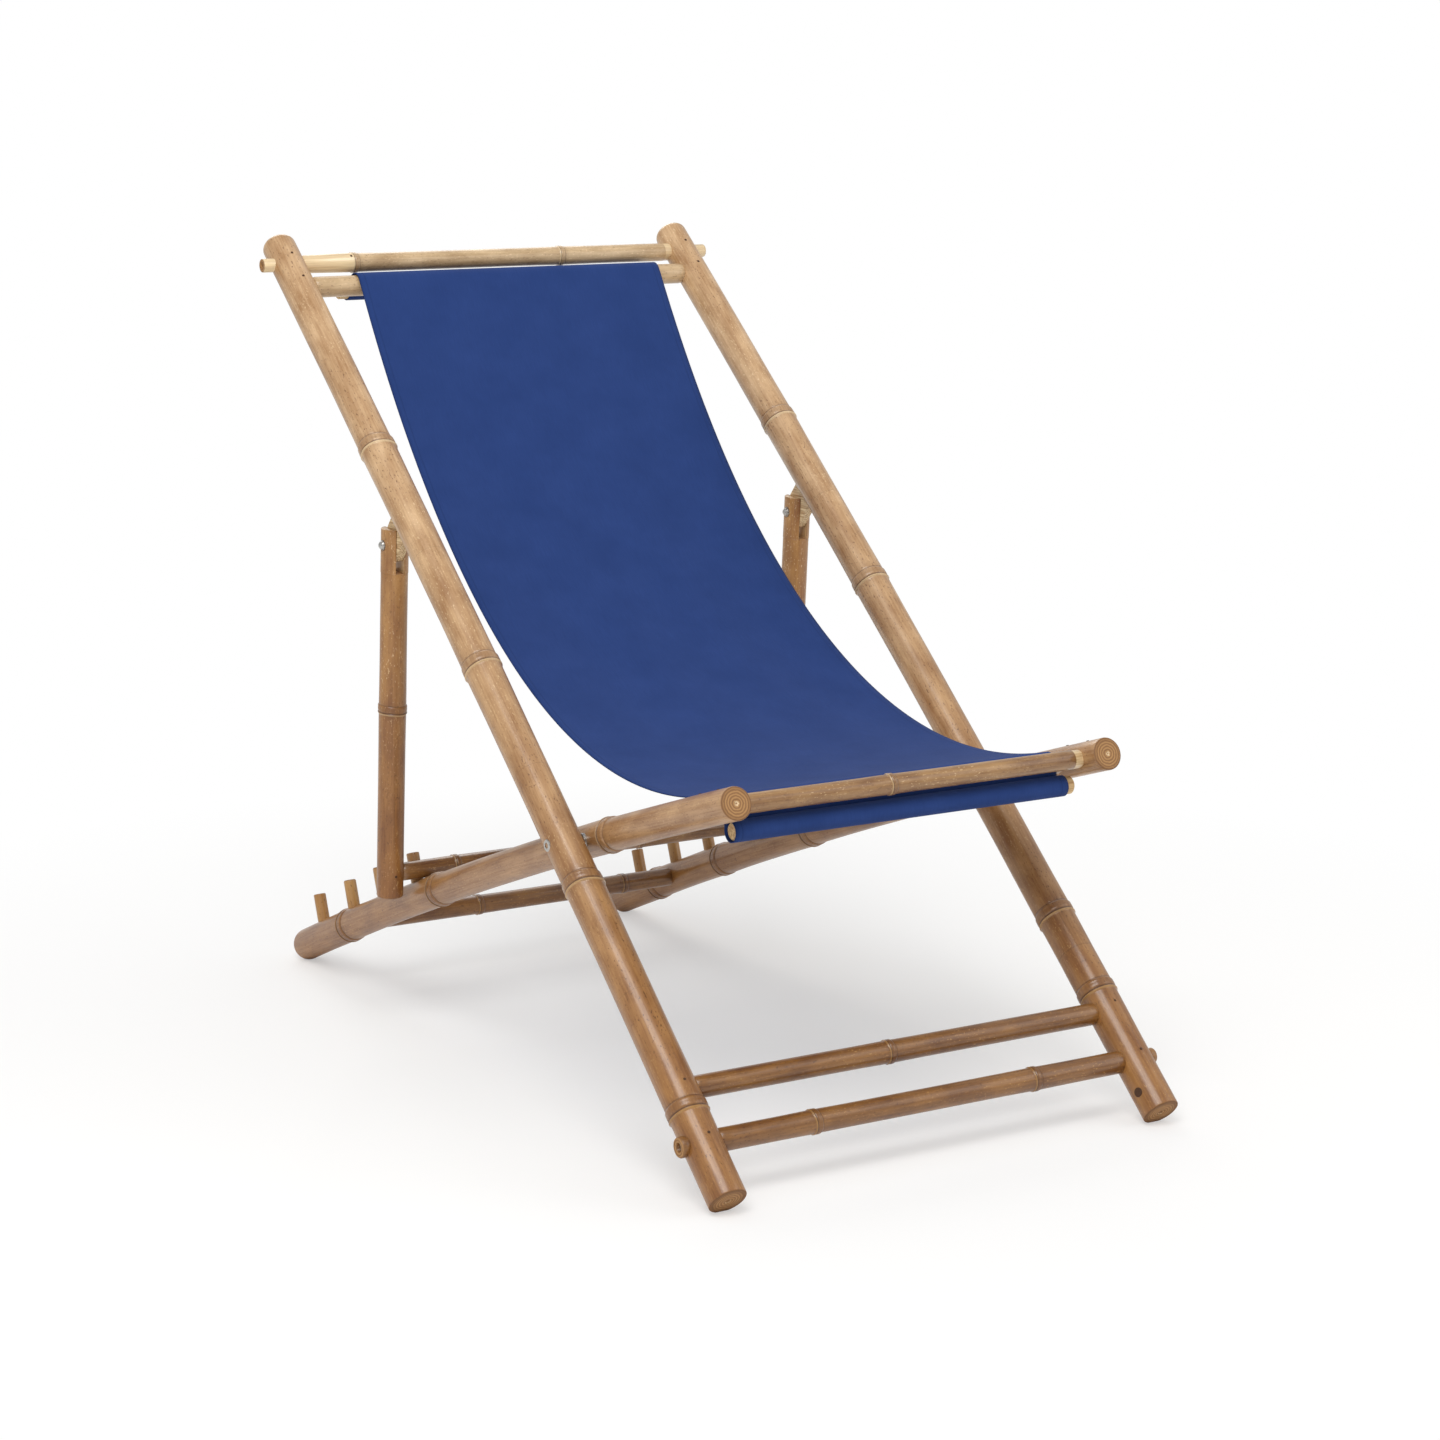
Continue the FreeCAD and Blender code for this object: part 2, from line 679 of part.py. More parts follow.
def prop(side):
    """A short pole whose forked top straddles the tongue behind the long pole."""
    name = "prop_" + side
    radius = cell("prop_radius")
    foot, top = "-(Sizes.prop_reach + Sizes.prop_foot)", "Sizes.prop_top"
    rim = "Sizes.rim_round"
    outline = [
        (foot, "0"),
        (foot, "%s - %s" % (radius, rim)),
        ("%s + %s" % (foot, rim), radius),
    ]
    outline += node_ring("-Sizes.%s_node_1" % name, radius)
    outline += [(top, radius), (top, "0")]
    middle = to_side(side, "Sizes.back_rail_spacing / 2")
    home = Placement(Vector(solve(middle), 0, 0), Rotation(Vector(0, 1, 0), -90))
    pole = turned(name + "_culm", outline, home)
    tools = prop_bar.cutters(side)
    tools.append(block(
        name + "_fork",
        ("%s - Sizes.fork_width / 2" % middle, "-Sizes.overcut", "-Sizes.fork_depth"),
        ("Sizes.fork_width", "2 * Sizes.overcut", "Sizes.fork_depth + Sizes.overcut")))
    tools.append(axle(name + "_bolt_bore", "Sizes.prop_bolt_radius + Sizes.prop_bolt_fit",
                      middle + " - Sizes.overcut", middle + " + Sizes.overcut", (0, 0)))
    spot = "Sizes.prop_radius - Sizes.prop_spot_face"
    spot_radius = "Sizes.prop_washer_radius + 3 * Sizes.cross_recess_fit"
    tools.append(axle(name + "_spot_low", spot_radius, middle + " - Sizes.overcut",
                      "%s - (%s)" % (middle, spot), (0, 0)))
    tools.append(axle(name + "_spot_high", spot_radius, "%s + %s" % (middle, spot),
                      middle + " + Sizes.overcut", (0, 0)))
    return cut(name, pole, tools, PROP)


def tongue(side):
    """A flat plate let into the rear of the long pole, with a hole for the prop's bolt."""
    name = "prop_tongue_" + side
    axis = to_side(side, "Sizes.back_rail_spacing / 2")
    plate = block(
        name + "_plate",
        (axis + " - Sizes.tongue_thick / 2", "Sizes.tongue_root",
         "Sizes.prop_pivot_at - Sizes.tongue_wide / 2"),
        ("Sizes.tongue_thick", "Sizes.tongue_end - Sizes.tongue_root", "Sizes.tongue_wide"))
    doc.recompute()
    rounded = doc.addObject("Part::Fillet", name + "_rounded")
    rounded.Base = plate
    far_edges = []
    for number, edge in enumerate(plate.Shape.Edges, 1):
        middle = edge.CenterOfMass
        across = abs(edge.Vertexes[0].X - edge.Vertexes[1].X)
        if across > 1 and middle.y > size("tongue_end") - 1:
            far_edges.append((number, size("tongue_corner"), size("tongue_corner")))
    rounded.Edges = far_edges
    bore = axle(name + "_bore", "Sizes.prop_bolt_radius + Sizes.prop_bolt_fit",
                axis + " - Sizes.overcut", axis + " + Sizes.overcut",
                (size("prop_pivot_behind"), size("prop_pivot_at")))
    return cut(name, rounded, [bore], BACK)


def peg(side, count):
    """One peg, square to the seat rail, its root in the pole."""
    name = "peg_%s_%d" % (side, count)
    radius = "Sizes.peg_radius"
    outline = [
        ("-Sizes.peg_root", "0"),
        ("-Sizes.peg_root", radius),
        ("Sizes.peg_top - Sizes.peg_chamfer", radius),
        ("Sizes.peg_top", radius + " - Sizes.peg_chamfer"),
        ("Sizes.peg_top", "0"),
    ]
    station = "-Sizes.peg_place_%d" % count
    root = Vector(solve(to_side(side, "Sizes.seat_rail_spacing / 2")),
                  solve(SEAT_ARC.off(station)), solve(station))
    home = SEAT.multiply(Placement(root, Rotation(Vector(0, 0, 1), 90)))
    return turned(name, outline, home)


def mirrored(side, outline):
    """An outline drawn for the right side, on either side."""
    return [(to_side(side, x), radius) for x, radius in outline]


def hexagon(label, radius, low_x, high_x, place):
    """A six-sided bar along X between two expressions."""
    tool = doc.addObject("Part::Prism", label)
    tool.Polygon = 6
    tool.Placement = Placement(Vector(0, place[0], place[1]), Rotation(Vector(0, 1, 0), 90))
    tool.setExpression("Circumradius", radius)
    tool.setExpression("Height", "(%s) - (%s)" % (high_x, low_x))
    tool.setExpression("Placement.Base.x", low_x)
    return tool


HINGE = Placement(PIVOT, Rotation())
CROSS_FACE = "(Sizes.back_rail_spacing / 2 + %s - Sizes.cross_seat_depth)" % BACK_ARC.thickness("0")
NUT_FACE = "(Sizes.seat_rail_spacing / 2 - %s + Sizes.cross_seat_depth)" % SEAT_ARC.thickness("0")
NUT_FLOOR = NUT_FACE + " + Sizes.nut_floor"


def cross_bolt(side):
    """A flat round head with a six-sided socket, and its shank through both poles."""
    name = "cross_bolt_" + side
    tip = "%s + Sizes.washer_slack" % NUT_FLOOR
    shank, head = "Sizes.cross_bolt_radius", "Sizes.cross_head_radius"
    face, top = CROSS_FACE, CROSS_FACE + " + Sizes.cross_head_thick"
    outline = [
        (tip, "0"),
        (tip, shank),
        (face, shank),
        (face, head),
        (top + " - Sizes.cross_head_bevel", head),
        (top, head + " - Sizes.cross_head_bevel"),
        (top, "0"),
    ]
    blank = turned(name + "_blank", mirrored(side, outline), Placement())
    low, high = span(side, top + " - Sizes.cross_socket_depth", top + " + Sizes.overcut")
    socket = hexagon(name + "_socket", "Sizes.cross_socket", low, high, (0, 0))
    return cut(name, blank, [socket], Placement())


def cross_nut(side):
    """A sleeve nut from the inside, its head in a recess of the seat pole."""
    name = "cross_nut_" + side
    slack = "Sizes.washer_slack"
    face = "(%s - %s)" % (NUT_FACE, slack)
    outer = face + " - Sizes.cross_head_thick"
    tip = NUT_FACE + " + Sizes.sleeve_length"
    bore = "Sizes.cross_bolt_radius + Sizes.thread_fit"
    outline = [
        (outer, "0"),
        (outer, "Sizes.cross_head_radius - Sizes.cross_head_bevel"),
        (outer + " + Sizes.cross_head_bevel", "Sizes.cross_head_radius"),
        (face, "Sizes.cross_head_radius"),
        (face, "Sizes.sleeve_radius"),
        (tip, "Sizes.sleeve_radius"),
        (tip, bore),
        (NUT_FLOOR, bore),
        (NUT_FLOOR, "0"),
    ]
    return turned(name, mirrored(side, outline), Placement())


def ring(label, side, bore, rim, near, far, place):
    """A washer between two distances from the middle."""
    low, high = span(side, near, far)
    disc = axle(label + "_disc", rim, low, high, place)
    hole = axle(label + "_hole", bore, low + " - Sizes.overcut", high + " + Sizes.overcut", place)
    washer = doc.addObject("Part::Cut", label)
    washer.Base = disc
    washer.Tool = hole
    return washer


def cross_washers():
    """The two washers that keep the poles apart at the bolts."""
    near = "Sizes.seat_rail_spacing / 2 + %s - Sizes.washer_recess + Sizes.washer_slack" % (
        SEAT_ARC.thickness("0"))
    far = "Sizes.back_rail_spacing / 2 - %s + Sizes.washer_recess" % BACK_ARC.thickness("0")
    bore = "Sizes.cross_bolt_radius + Sizes.cross_bolt_fit"
    pair = [ring("cross_washer_" + side, side, bore, "Sizes.washer_radius", near, far, (0, 0))
            for side in SIDES]
    return group("cross_washers", pair, HINGE)


CHEEK = "(Sizes.prop_radius - Sizes.prop_spot_face)"


def prop_bolt(side):
    """A round-headed bolt through the fork, its head towards the left."""
    name = "prop_bolt_" + side
    middle = to_side(side, "Sizes.back_rail_spacing / 2")
    under = "(%s - %s - Sizes.prop_washer_thick)" % (middle, CHEEK)
    tip = "(%s + %s + Sizes.prop_washer_thick + Sizes.prop_nut_thick + Sizes.prop_bolt_past)" % (
        middle, CHEEK)
    head, thick = "Sizes.prop_head_radius", "Sizes.prop_head_thick"
    outline = [("%s - %s" % (under, thick), "0")]
    for angle in (30, 60):
        lift = math.cos(math.radians(angle))
        spread = math.sin(math.radians(angle))
        outline.append(("%s - %s * %.4f" % (under, thick, lift), "%s * %.4f" % (head, spread)))
    outline += [
        (under, head),
        (under, "Sizes.prop_bolt_radius"),
        (tip, "Sizes.prop_bolt_radius"),
        (tip, "0"),
    ]
    return turned(name, outline, Placement())


def prop_nut(side):
    """A six-sided nut on the right of the fork."""
    name = "prop_nut_" + side
    middle = to_side(side, "Sizes.back_rail_spacing / 2")
    low = "%s + %s + Sizes.prop_washer_thick" % (middle, CHEEK)
    high = low + " + Sizes.prop_nut_thick"
    blank = hexagon(name + "_blank", "Sizes.prop_nut_corner", low, high, (0, 0))
    hole = axle(name + "_thread", "Sizes.prop_bolt_radius + Sizes.thread_fit",
                low + " - Sizes.overcut", high + " + Sizes.overcut", (0, 0))
    return cut(name, blank, [hole], Placement())


def prop_washers():
    """The four washers under the heads and nuts of the prop bolts."""
    rings_made = []
    for side in SIDES:
        middle = to_side(side, "Sizes.back_rail_spacing / 2")
        for word, near in (("low", "%s - %s - Sizes.prop_washer_thick" % (middle, CHEEK)),
                           ("high", "%s + %s" % (middle, CHEEK))):
            label = "prop_washer_%s_%s" % (side, word)
            bore = "Sizes.prop_bolt_radius + Sizes.prop_bolt_fit"
            far = near + " + Sizes.prop_washer_thick"
            rings_made.append(ring(label, "right", bore, "Sizes.prop_washer_radius",
                                   near, far, (0, 0)))
    return group("prop_washers", rings_made, PROP)


def on_edge(centre, radius, degrees):
    """A point on a circle in the side view."""
    angle = math.radians(degrees)
    return Vector(centre.x + radius * math.cos(angle), centre.y + radius * math.sin(angle), 0)


def side_view(point):
    """A point of the chair seen from the side: back to the right, up on the page."""
    return Vector(point.y, point.z, 0)


HALF = size("sling_thick") / 2
# the canvas clears the rings of the two bars
CLEAR = size("bar_node_rise") + size("sling_gap") + HALF
OVER_BACK = size("top_sling_bar_radius") + CLEAR
OVER_FRONT = size("front_sling_bar_radius") + CLEAR
POCKET = size("dowel_radius") + size("dowel_fit")
back_y, back_z = top_sling_bar.place()
front_y, front_z = front_sling_bar.place()
BACK_BAR = side_view(BACK.multVec(Vector(0, back_y, back_z)))
FRONT_BAR = side_view(SEAT.multVec(Vector(0, front_y, front_z)))
TOP_DOWEL = BACK_BAR + Vector(OVER_BACK + POCKET + HALF, -size("top_hem_drop"), 0)
bar_y, bar_z = front_bar.place()
FRONT_EDGE = side_view(SEAT.multVec(Vector(0, bar_y, bar_z)))
FRONT_DOWEL = Vector(FRONT_BAR.x - OVER_FRONT - POCKET - HALF, FRONT_EDGE.y - size("front_hem_drop"), 0)


def hanging_curve():
    """The catenary that touches both bars: its lowest point and its two ends.

    The ends are given as distances from the lowest point, in units of the
    catenary's own parameter. Each end's slope moves its point of contact round
    its bar, so the two are worked out in turn until they agree.
    """
    stretch = size("sling_catenary")
    slopes = [0.0, 0.0]
    for _ in range(60):
        start = on_edge(FRONT_BAR, OVER_FRONT, 90 + slopes[0])
        end = on_edge(BACK_BAR, OVER_BACK, 90 + slopes[1])
        half = (end.x - start.x) / stretch / 2
        middle = math.asinh((end.y - start.y) / (2 * stretch * math.sinh(half)))
        ends = (middle - half, middle + half)
        slopes = [math.degrees(math.atan(math.sinh(place))) for place in ends]
    lowest = Vector(start.x - ends[0] * stretch, start.y - stretch * (math.cosh(ends[0]) - 1), 0)
    return lowest, ends, slopes


LOWEST, ENDS, SLOPES = hanging_curve()


def on_sling(place, offset):
    """A point of the hanging curve, moved square to it by an offset."""
    stretch = size("sling_catenary")
    slope = math.atan(math.sinh(place))
    along = Vector(place * stretch, stretch * (math.cosh(place) - 1), 0)
    return LOWEST + along + Vector(-math.sin(slope), math.cos(slope), 0) * offset


def sling_side(offset):
    """One face of the canvas in the side view, from the top hem to the front hem."""
    back_over = OVER_BACK + offset
    front_over = OVER_FRONT + offset
    meet = on_edge(BACK_BAR, back_over, 0)
    drop = math.sqrt((POCKET + 2 * HALF) ** 2 - POCKET ** 2) if offset > 0 else 0
    pieces = [Part.LineSegment(Vector(meet.x, TOP_DOWEL.y + drop, 0), meet)]
    half_way = 45 + SLOPES[1] / 2
    pieces.append(Part.Arc(meet, on_edge(BACK_BAR, back_over, half_way),
                           on_edge(BACK_BAR, back_over, 90 + SLOPES[1])))
    spans = 8
    step = (ENDS[0] - ENDS[1]) / spans
    for count in range(spans):
        start = ENDS[1] + step * count
        pieces.append(Part.Arc(on_sling(start, offset), on_sling(start + step / 2, offset),
                               on_sling(start + step, offset)))
    leave = on_edge(FRONT_BAR, front_over, 180)
    half_way = (90 + SLOPES[0] + 180) / 2
    pieces.append(Part.Arc(on_edge(FRONT_BAR, front_over, 90 + SLOPES[0]),
                           on_edge(FRONT_BAR, front_over, half_way), leave))
    pieces.append(Part.LineSegment(leave, Vector(leave.x, FRONT_DOWEL.y + drop, 0)))
    return pieces


def sling():
    """The canvas with a hem pocket at each end, hanging slack between its two bars."""
    outline = doc.addObject("Sketcher::SketchObject", "sling_outline")
    outline.Placement = Placement(Vector(), Rotation(Vector(1, 1, 1), 120))
    outer = POCKET + 2 * HALF
    open_angle = math.degrees(math.acos(POCKET / outer))
    pieces = sling_side(HALF) + sling_side(-HALF)
    pieces.append(Part.Arc(on_edge(TOP_DOWEL, outer, 180), on_edge(TOP_DOWEL, outer, 330),
                           on_edge(TOP_DOWEL, outer, 180 - open_angle)))
    pieces.append(Part.Arc(on_edge(FRONT_DOWEL, outer, open_angle),
                           on_edge(FRONT_DOWEL, outer, 210), on_edge(FRONT_DOWEL, outer, 360)))
    for centre in (TOP_DOWEL, FRONT_DOWEL):
        pieces.append(Part.Circle(centre, Vector(0, 0, 1), POCKET))
    for piece in pieces:
        outline.addGeometry(piece, False)
    canvas = doc.addObject("Part::Extrusion", "sling")
    canvas.Base = outline
    canvas.DirMode = "Normal"
    canvas.Symmetric = True
    canvas.Solid = True
    canvas.setExpression("LengthFwd", "Sizes.sling_width")
    return canvas


def dowel(name, centre):
    """A plain round stick in a hem."""
    end, radius = "Sizes.dowel_length / 2", "Sizes.dowel_radius"
    half = [
        ("(%s)" % end, "0"),
        ("(%s)" % end, radius + " - Sizes.rim_round"),
        ("(%s - Sizes.rim_round)" % end, radius),
    ]
    outline = [("-" + x, across) for x, across in half] + half[::-1]
    return turned(name, outline, Placement(Vector(0, centre.x, centre.y), Rotation()))


pieces = []
for joint in BACK_JOINTS:
    pieces.append(joint.bar(BACK, joint.name + "_radius"))
for joint in SEAT_JOINTS:
    pieces.append(joint.bar(SEAT, joint.name + "_radius"))
pieces.append(prop_bar.bar(PROP, "prop_bar_radius"))
pins = [(BACK, BACK_JOINTS, "back_frame_pins"),
        (SEAT, [front_bar, front_sling_bar], "seat_frame_pins"),
        (PROP, [prop_bar], "prop_frame_pins")]
for frame, joints, name in pins:
    pieces.append(group(name, [pin for joint in joints for pin in joint.pins()], frame))
for side in SIDES:
    pieces += [back_rail(side), seat_rail(side), prop(side), tongue(side)]
    pieces += [peg(side, count) for count in range(1, len(PEG_PLACES) + 1)]
fasteners = [(cross_bolt, HINGE, "cross_bolts"), (cross_nut, HINGE, "cross_nuts"),
             (prop_bolt, PROP, "prop_bolts"), (prop_nut, PROP, "prop_nuts")]
for fastener, frame, name in fasteners:
    pieces.append(group(name, [fastener(side) for side in SIDES], frame))
pieces += [cross_washers(), prop_washers()]
pieces += [sling(), dowel("top_hem_dowel", TOP_DOWEL), dowel("front_hem_dowel", FRONT_DOWEL)]
doc.recompute()

os.makedirs("parts", exist_ok=True)
box = None
for piece in pieces:
    shape = piece.Shape
    if "Invalid" in piece.State or "Error" in piece.State or shape.isNull() or not shape.isValid():
        raise ValueError("piece %s is not sound: %s" % (piece.Label, piece.State))
    if not piece.isDerivedFrom("Part::Compound") and len(shape.Solids) != 1:
        raise ValueError("piece %s has %d solids" % (piece.Label, len(shape.Solids)))
    shape.exportStep("parts/%s.step" % piece.Label)
    if box is None:
        box = shape.BoundBox
    box.add(shape.BoundBox)
    print("%-24s %6.1f cm3 %3d solids" % (piece.Label, shape.Volume / 1000, len(shape.Solids)))
print("box", box)
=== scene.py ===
"""Looks of a bamboo folding recliner with a blue canvas sling.

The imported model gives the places. Every pole, bar, peg and prop is drawn again as a
grown culm, with swollen nodes, a slight bow and sawn ends, and the sling is a sheet
of canvas that hangs between its two bars. Metres throughout.
"""

import json
import math

import bpy
import numpy as np
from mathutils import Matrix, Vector


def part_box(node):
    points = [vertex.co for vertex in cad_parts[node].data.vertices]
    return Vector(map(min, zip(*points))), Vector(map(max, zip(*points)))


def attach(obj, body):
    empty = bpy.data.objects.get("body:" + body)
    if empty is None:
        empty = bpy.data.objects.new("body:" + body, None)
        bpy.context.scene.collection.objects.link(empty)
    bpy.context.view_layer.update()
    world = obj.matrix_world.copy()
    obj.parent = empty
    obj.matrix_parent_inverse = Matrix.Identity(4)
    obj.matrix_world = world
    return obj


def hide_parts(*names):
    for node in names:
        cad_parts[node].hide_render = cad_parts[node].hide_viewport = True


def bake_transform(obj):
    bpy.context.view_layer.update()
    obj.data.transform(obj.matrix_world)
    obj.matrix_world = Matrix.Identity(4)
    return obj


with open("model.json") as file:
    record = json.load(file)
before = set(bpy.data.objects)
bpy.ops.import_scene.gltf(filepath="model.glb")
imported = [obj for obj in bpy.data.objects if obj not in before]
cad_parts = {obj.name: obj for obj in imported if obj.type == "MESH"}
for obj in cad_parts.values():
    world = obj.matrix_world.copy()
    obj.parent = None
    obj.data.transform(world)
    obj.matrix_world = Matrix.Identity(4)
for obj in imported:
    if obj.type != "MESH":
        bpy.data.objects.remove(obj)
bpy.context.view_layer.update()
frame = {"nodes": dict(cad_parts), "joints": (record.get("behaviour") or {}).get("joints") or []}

bl_info = {
    "name": "Bamboo recliner",
    "version": (1, 0, 0),
    "blender": (4, 5, 0),
    "location": "3D View > Sidebar > Recliner",
    "description": "Draws a bamboo folding recliner with a canvas sling",
    "category": "Add Mesh",
}

MM = 0.001
SIDES = {"left": -1, "right": 1}


class Sizes(bpy.types.PropertyGroup):
    """Sizes of the chair that someone would change."""

    back_slope: bpy.props.FloatProperty(
        name="Back slope", description="Angle of the long poles with the floor",
        default=math.radians(40.65), unit="ROTATION")
    seat_slope: bpy.props.FloatProperty(
        name="Seat slope", description="Angle of the seat poles with the floor",
        default=math.radians(20.3), unit="ROTATION")
    back_spacing: bpy.props.FloatProperty(
        name="Back spacing", description="Between the middle lines of the long poles",
        default=532 * MM, unit="LENGTH")
    seat_spacing: bpy.props.FloatProperty(
        name="Seat spacing", description="Between the middle lines of the seat poles",
        default=450 * MM, unit="LENGTH")
    pole_ridge: bpy.props.FloatProperty(
        name="Pole ridge", description="How far a node swells out of a pole",
        default=1.5 * MM, unit="LENGTH")
    bar_ridge: bpy.props.FloatProperty(
        name="Bar ridge", description="How far a node swells out of a thin culm",
        default=1.15 * MM, unit="LENGTH")
    tenon_radius: bpy.props.FloatProperty(
        name="Tenon radius", description="Half the thickness of a crossbar's tenon",
        default=8 * MM, unit="LENGTH")
    canvas_width: bpy.props.FloatProperty(
        name="Canvas width", description="Width of the sling", default=405 * MM, unit="LENGTH")
    canvas_thickness: bpy.props.FloatProperty(
        name="Canvas thickness", description="Thickness of the cloth",
        default=1.1 * MM, unit="LENGTH")
    canvas_stretch: bpy.props.FloatProperty(
        name="Catenary", description="Parameter of the hanging curve, longer is flatter",
        default=545 * MM, unit="LENGTH")
    top_shift: bpy.props.FloatProperty(
        name="Shift at the top", description="How far the sling has crept to the right there",
        default=7.5 * MM, unit="LENGTH")
    front_shift: bpy.props.FloatProperty(
        name="Shift at the front", description="How far the sling has crept to the left there",
        default=6 * MM, unit="LENGTH")


class Colours(bpy.types.PropertyGroup):
    """Colours of the chair as sRGB hex values."""

    pole_light: bpy.props.StringProperty(
        name="Pole, light", description="Honey tan of the bamboo skin", default="D2AE84")
    pole_deep: bpy.props.StringProperty(
        name="Pole, deep", description="Browner tan in the streaks", default="A0764A")
    # The top bars' paler tan and the props' deeper brown are partly each culm's own tone and partly
    # painted light: paler high up, browner low down.
    pale_bar_light: bpy.props.StringProperty(
        name="Pale bar, light", description="Tan of the top bar", default="D3B68E")
    pale_bar_deep: bpy.props.StringProperty(
        name="Pale bar, deep", description="Olive brown in its streaks", default="A98A62")
    bar_light: bpy.props.StringProperty(
        name="Bar, light", description="Tan of the thinner culms", default="BC9866")
    bar_deep: bpy.props.StringProperty(
        name="Bar, deep", description="Brown in the streaks of the thinner culms", default="85603A")
    prop_light: bpy.props.StringProperty(
        name="Prop, light", description="Brown of the props", default="B88A50")
    prop_deep: bpy.props.StringProperty(
        name="Prop, deep", description="Deeper brown in their streaks", default="8E5F30")
    # Painted shade: the skin is multiplied by this colour towards the ground, standing in for the
    # light that falls off low down.
    shade: bpy.props.StringProperty(
        name="Ground tone", description="What the skin is multiplied by near the ground",
        default="C3A676")
    speck: bpy.props.StringProperty(
        name="Specks", description="Small brown marks on the skin", default="6A4526")
    fleck: bpy.props.StringProperty(
        name="Flecks", description="Small pale marks on the skin", default="E6CBA2")
    node_line: bpy.props.StringProperty(
        name="Node line", description="Dark line in the groove of a node", default="55361C")
    pale_wood: bpy.props.StringProperty(
        name="Cut bamboo", description="Bamboo under its skin", default="EBD3A6")
    end_grain: bpy.props.StringProperty(
        name="End grain", description="Sawn end of a culm", default="AB8050")
    dowel: bpy.props.StringProperty(
        name="Dowel", description="Raw softwood of the hem dowels", default="D9BC8C")
    steel: bpy.props.StringProperty(
        name="Steel", description="Zinc plate of bolts, nuts and washers", default="B9B7B2")
    # Painted shade: the dark inside the sunk nail holes and the knot hole, laid on as dark domes.
    hole_shade: bpy.props.StringProperty(
        name="Nail filler", description="Dark filler over the sunk nails", default="3A2415")
    canvas: bpy.props.StringProperty(
        name="Canvas", description="Royal blue cotton", default="213A72")


def sizes():
    return bpy.context.scene.recliner_sizes


def colours():
    return bpy.context.scene.recliner_colours


class Side:
    """A frame's own axes in the side view: across its poles and along them.

    A point (x, off, along) lies at the origin + off * across + along * up, turned by
    the frame's angle about X.
    """

    def __init__(self, origin, angle):
        self.origin = np.array(origin)
        self.across = np.array([math.cos(angle), math.sin(angle)])
        self.up = np.array([-math.sin(angle), math.cos(angle)])

    def world(self, x, off, along):
        """Points of the frame, given as arrays, in the chair's own axes."""
        x, off, along = np.broadcast_arrays(x, off, along)
        flat = self.origin + off[..., None] * self.across + along[..., None] * self.up
        return np.concatenate([x[..., None], flat], axis=-1)


def joint_place(name):
    """A joint's axis in the side view."""
    joint = next(item for item in frame["joints"] if item["name"] == name)
    return np.array(joint["pos_m"][1:])


def middle_of(node):
    """The middle of a CAD node's box in the side view."""
    low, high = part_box(node)
    return np.array((low + high) / 2)[1:]


def back_side():
    return Side(joint_place("main_fold"), sizes().back_slope - math.pi / 2)


def seat_side():
    return Side(joint_place("main_fold"), math.pi / 2 - sizes().seat_slope)


def spacing_of(body):
    """The distance between the middle lines of a body's two poles."""
    return sizes().seat_spacing if body == "seat_frame" else sizes().back_spacing


def prop_side():
    """The prop frame's axes: its origin at the bolts, up from its bar."""
    hang = joint_place("prop_pivot")
    rise = hang - middle_of("prop_bar")
    return Side(hang, math.atan2(-rise[0], rise[1]))


class Pole:
    """One long culm: its reach from the crossing bolts, its bow, nodes and radii."""

    def __init__(self, behind, ahead, bow, lean, nodes, radii):
        self.low, self.high, self.bow, self.lean = -behind * MM, ahead * MM, bow * MM, lean
        self.nodes = np.sort(np.array(nodes)) * MM
        self.radii = np.array(radii) * MM

    def off(self, along):
        """Offset of the middle line: a circular arc through the crossing bolts.

        With the middle m, half length h and R = h^2 / (2 bow), it is
        lean * (sqrt(R^2 - m^2) - sqrt(R^2 - (s - m)^2)).
        """
        middle, half = (self.low + self.high) / 2, (self.high - self.low) / 2
        radius = half ** 2 / (2 * self.bow)
        return self.lean * (math.sqrt(radius ** 2 - middle ** 2)
                            - np.sqrt(radius ** 2 - (along - middle) ** 2))


BACK_POLES = {
    "left": Pole(435, 905, 9.2, 1, (562, 237, -55, -333), (20.6, 20.6, 20.4, 20.2, 19.9)),
    "right": Pole(435, 905, 9.2, 1, (565, 303, -182, -284), (20.6, 20.5, 20.4, 20.2, 19.9)),
}
SEAT_POLES = {
    "left": Pole(804, 287, 13.2, -1, (-654, -390, 32), (19.8, 19.2, 18.4, 17.6)),
    "right": Pole(804, 287, 13.2, -1, (-690, -519, -303, 40), (19.8, 19.2, 19.2, 18.4, 17.6)),
}

# each crossbar: its body, radius, nodes and the peeled lengths at its left and right end
BARS = {
    "top_bar": ("back_frame", 11.2, (-183, 93), (63, 10)),
    "top_sling_bar": ("back_frame", 12.4, (-66, 168), (3, 4)),
    "upper_stretcher": ("back_frame", 12.0, (-17,), (3, 4)),
    "lower_stretcher": ("back_frame", 12.2, (-137, 134), (3, 3)),
    "front_bar": ("seat_frame", 10.4, (-28,), (3, 11)),
    "front_sling_bar": ("seat_frame", 11.2, (94,), (3, 3)),
    "rear_bar": ("seat_frame", 11.6, (-65, 138), (3, 3)),
    "prop_bar": ("prop_frame", 10.8, (-184, 61), (3, 3)),
}
PROP_RADIUS = 15.6 * MM
# half the thickness of the poles that each body's crossbars meet
MET_RADIUS = {"back_frame": 20.4 * MM, "seat_frame": 18.4 * MM, "prop_frame": PROP_RADIUS}
PROP_NODES = {"left": 190 * MM, "right": 232 * MM}
PEG_PLACES = np.array((452, 551, 640, 736)) * MM
PEG_RADIUS = 7.75 * MM
PEG_TOP = 52 * MM
PEG_ROOT = -6 * MM
# a peel shorter than this keeps the colour of the skin
SHORT_PEEL = 5 * MM


# Meshes over grids

def folded(grid):
    """The rows of a grid whose first and last row each meet in one point."""
    return np.concatenate([grid[:1, 0], grid[1:-1].reshape(-1, *grid.shape[2:]), grid[-1:, 0]])


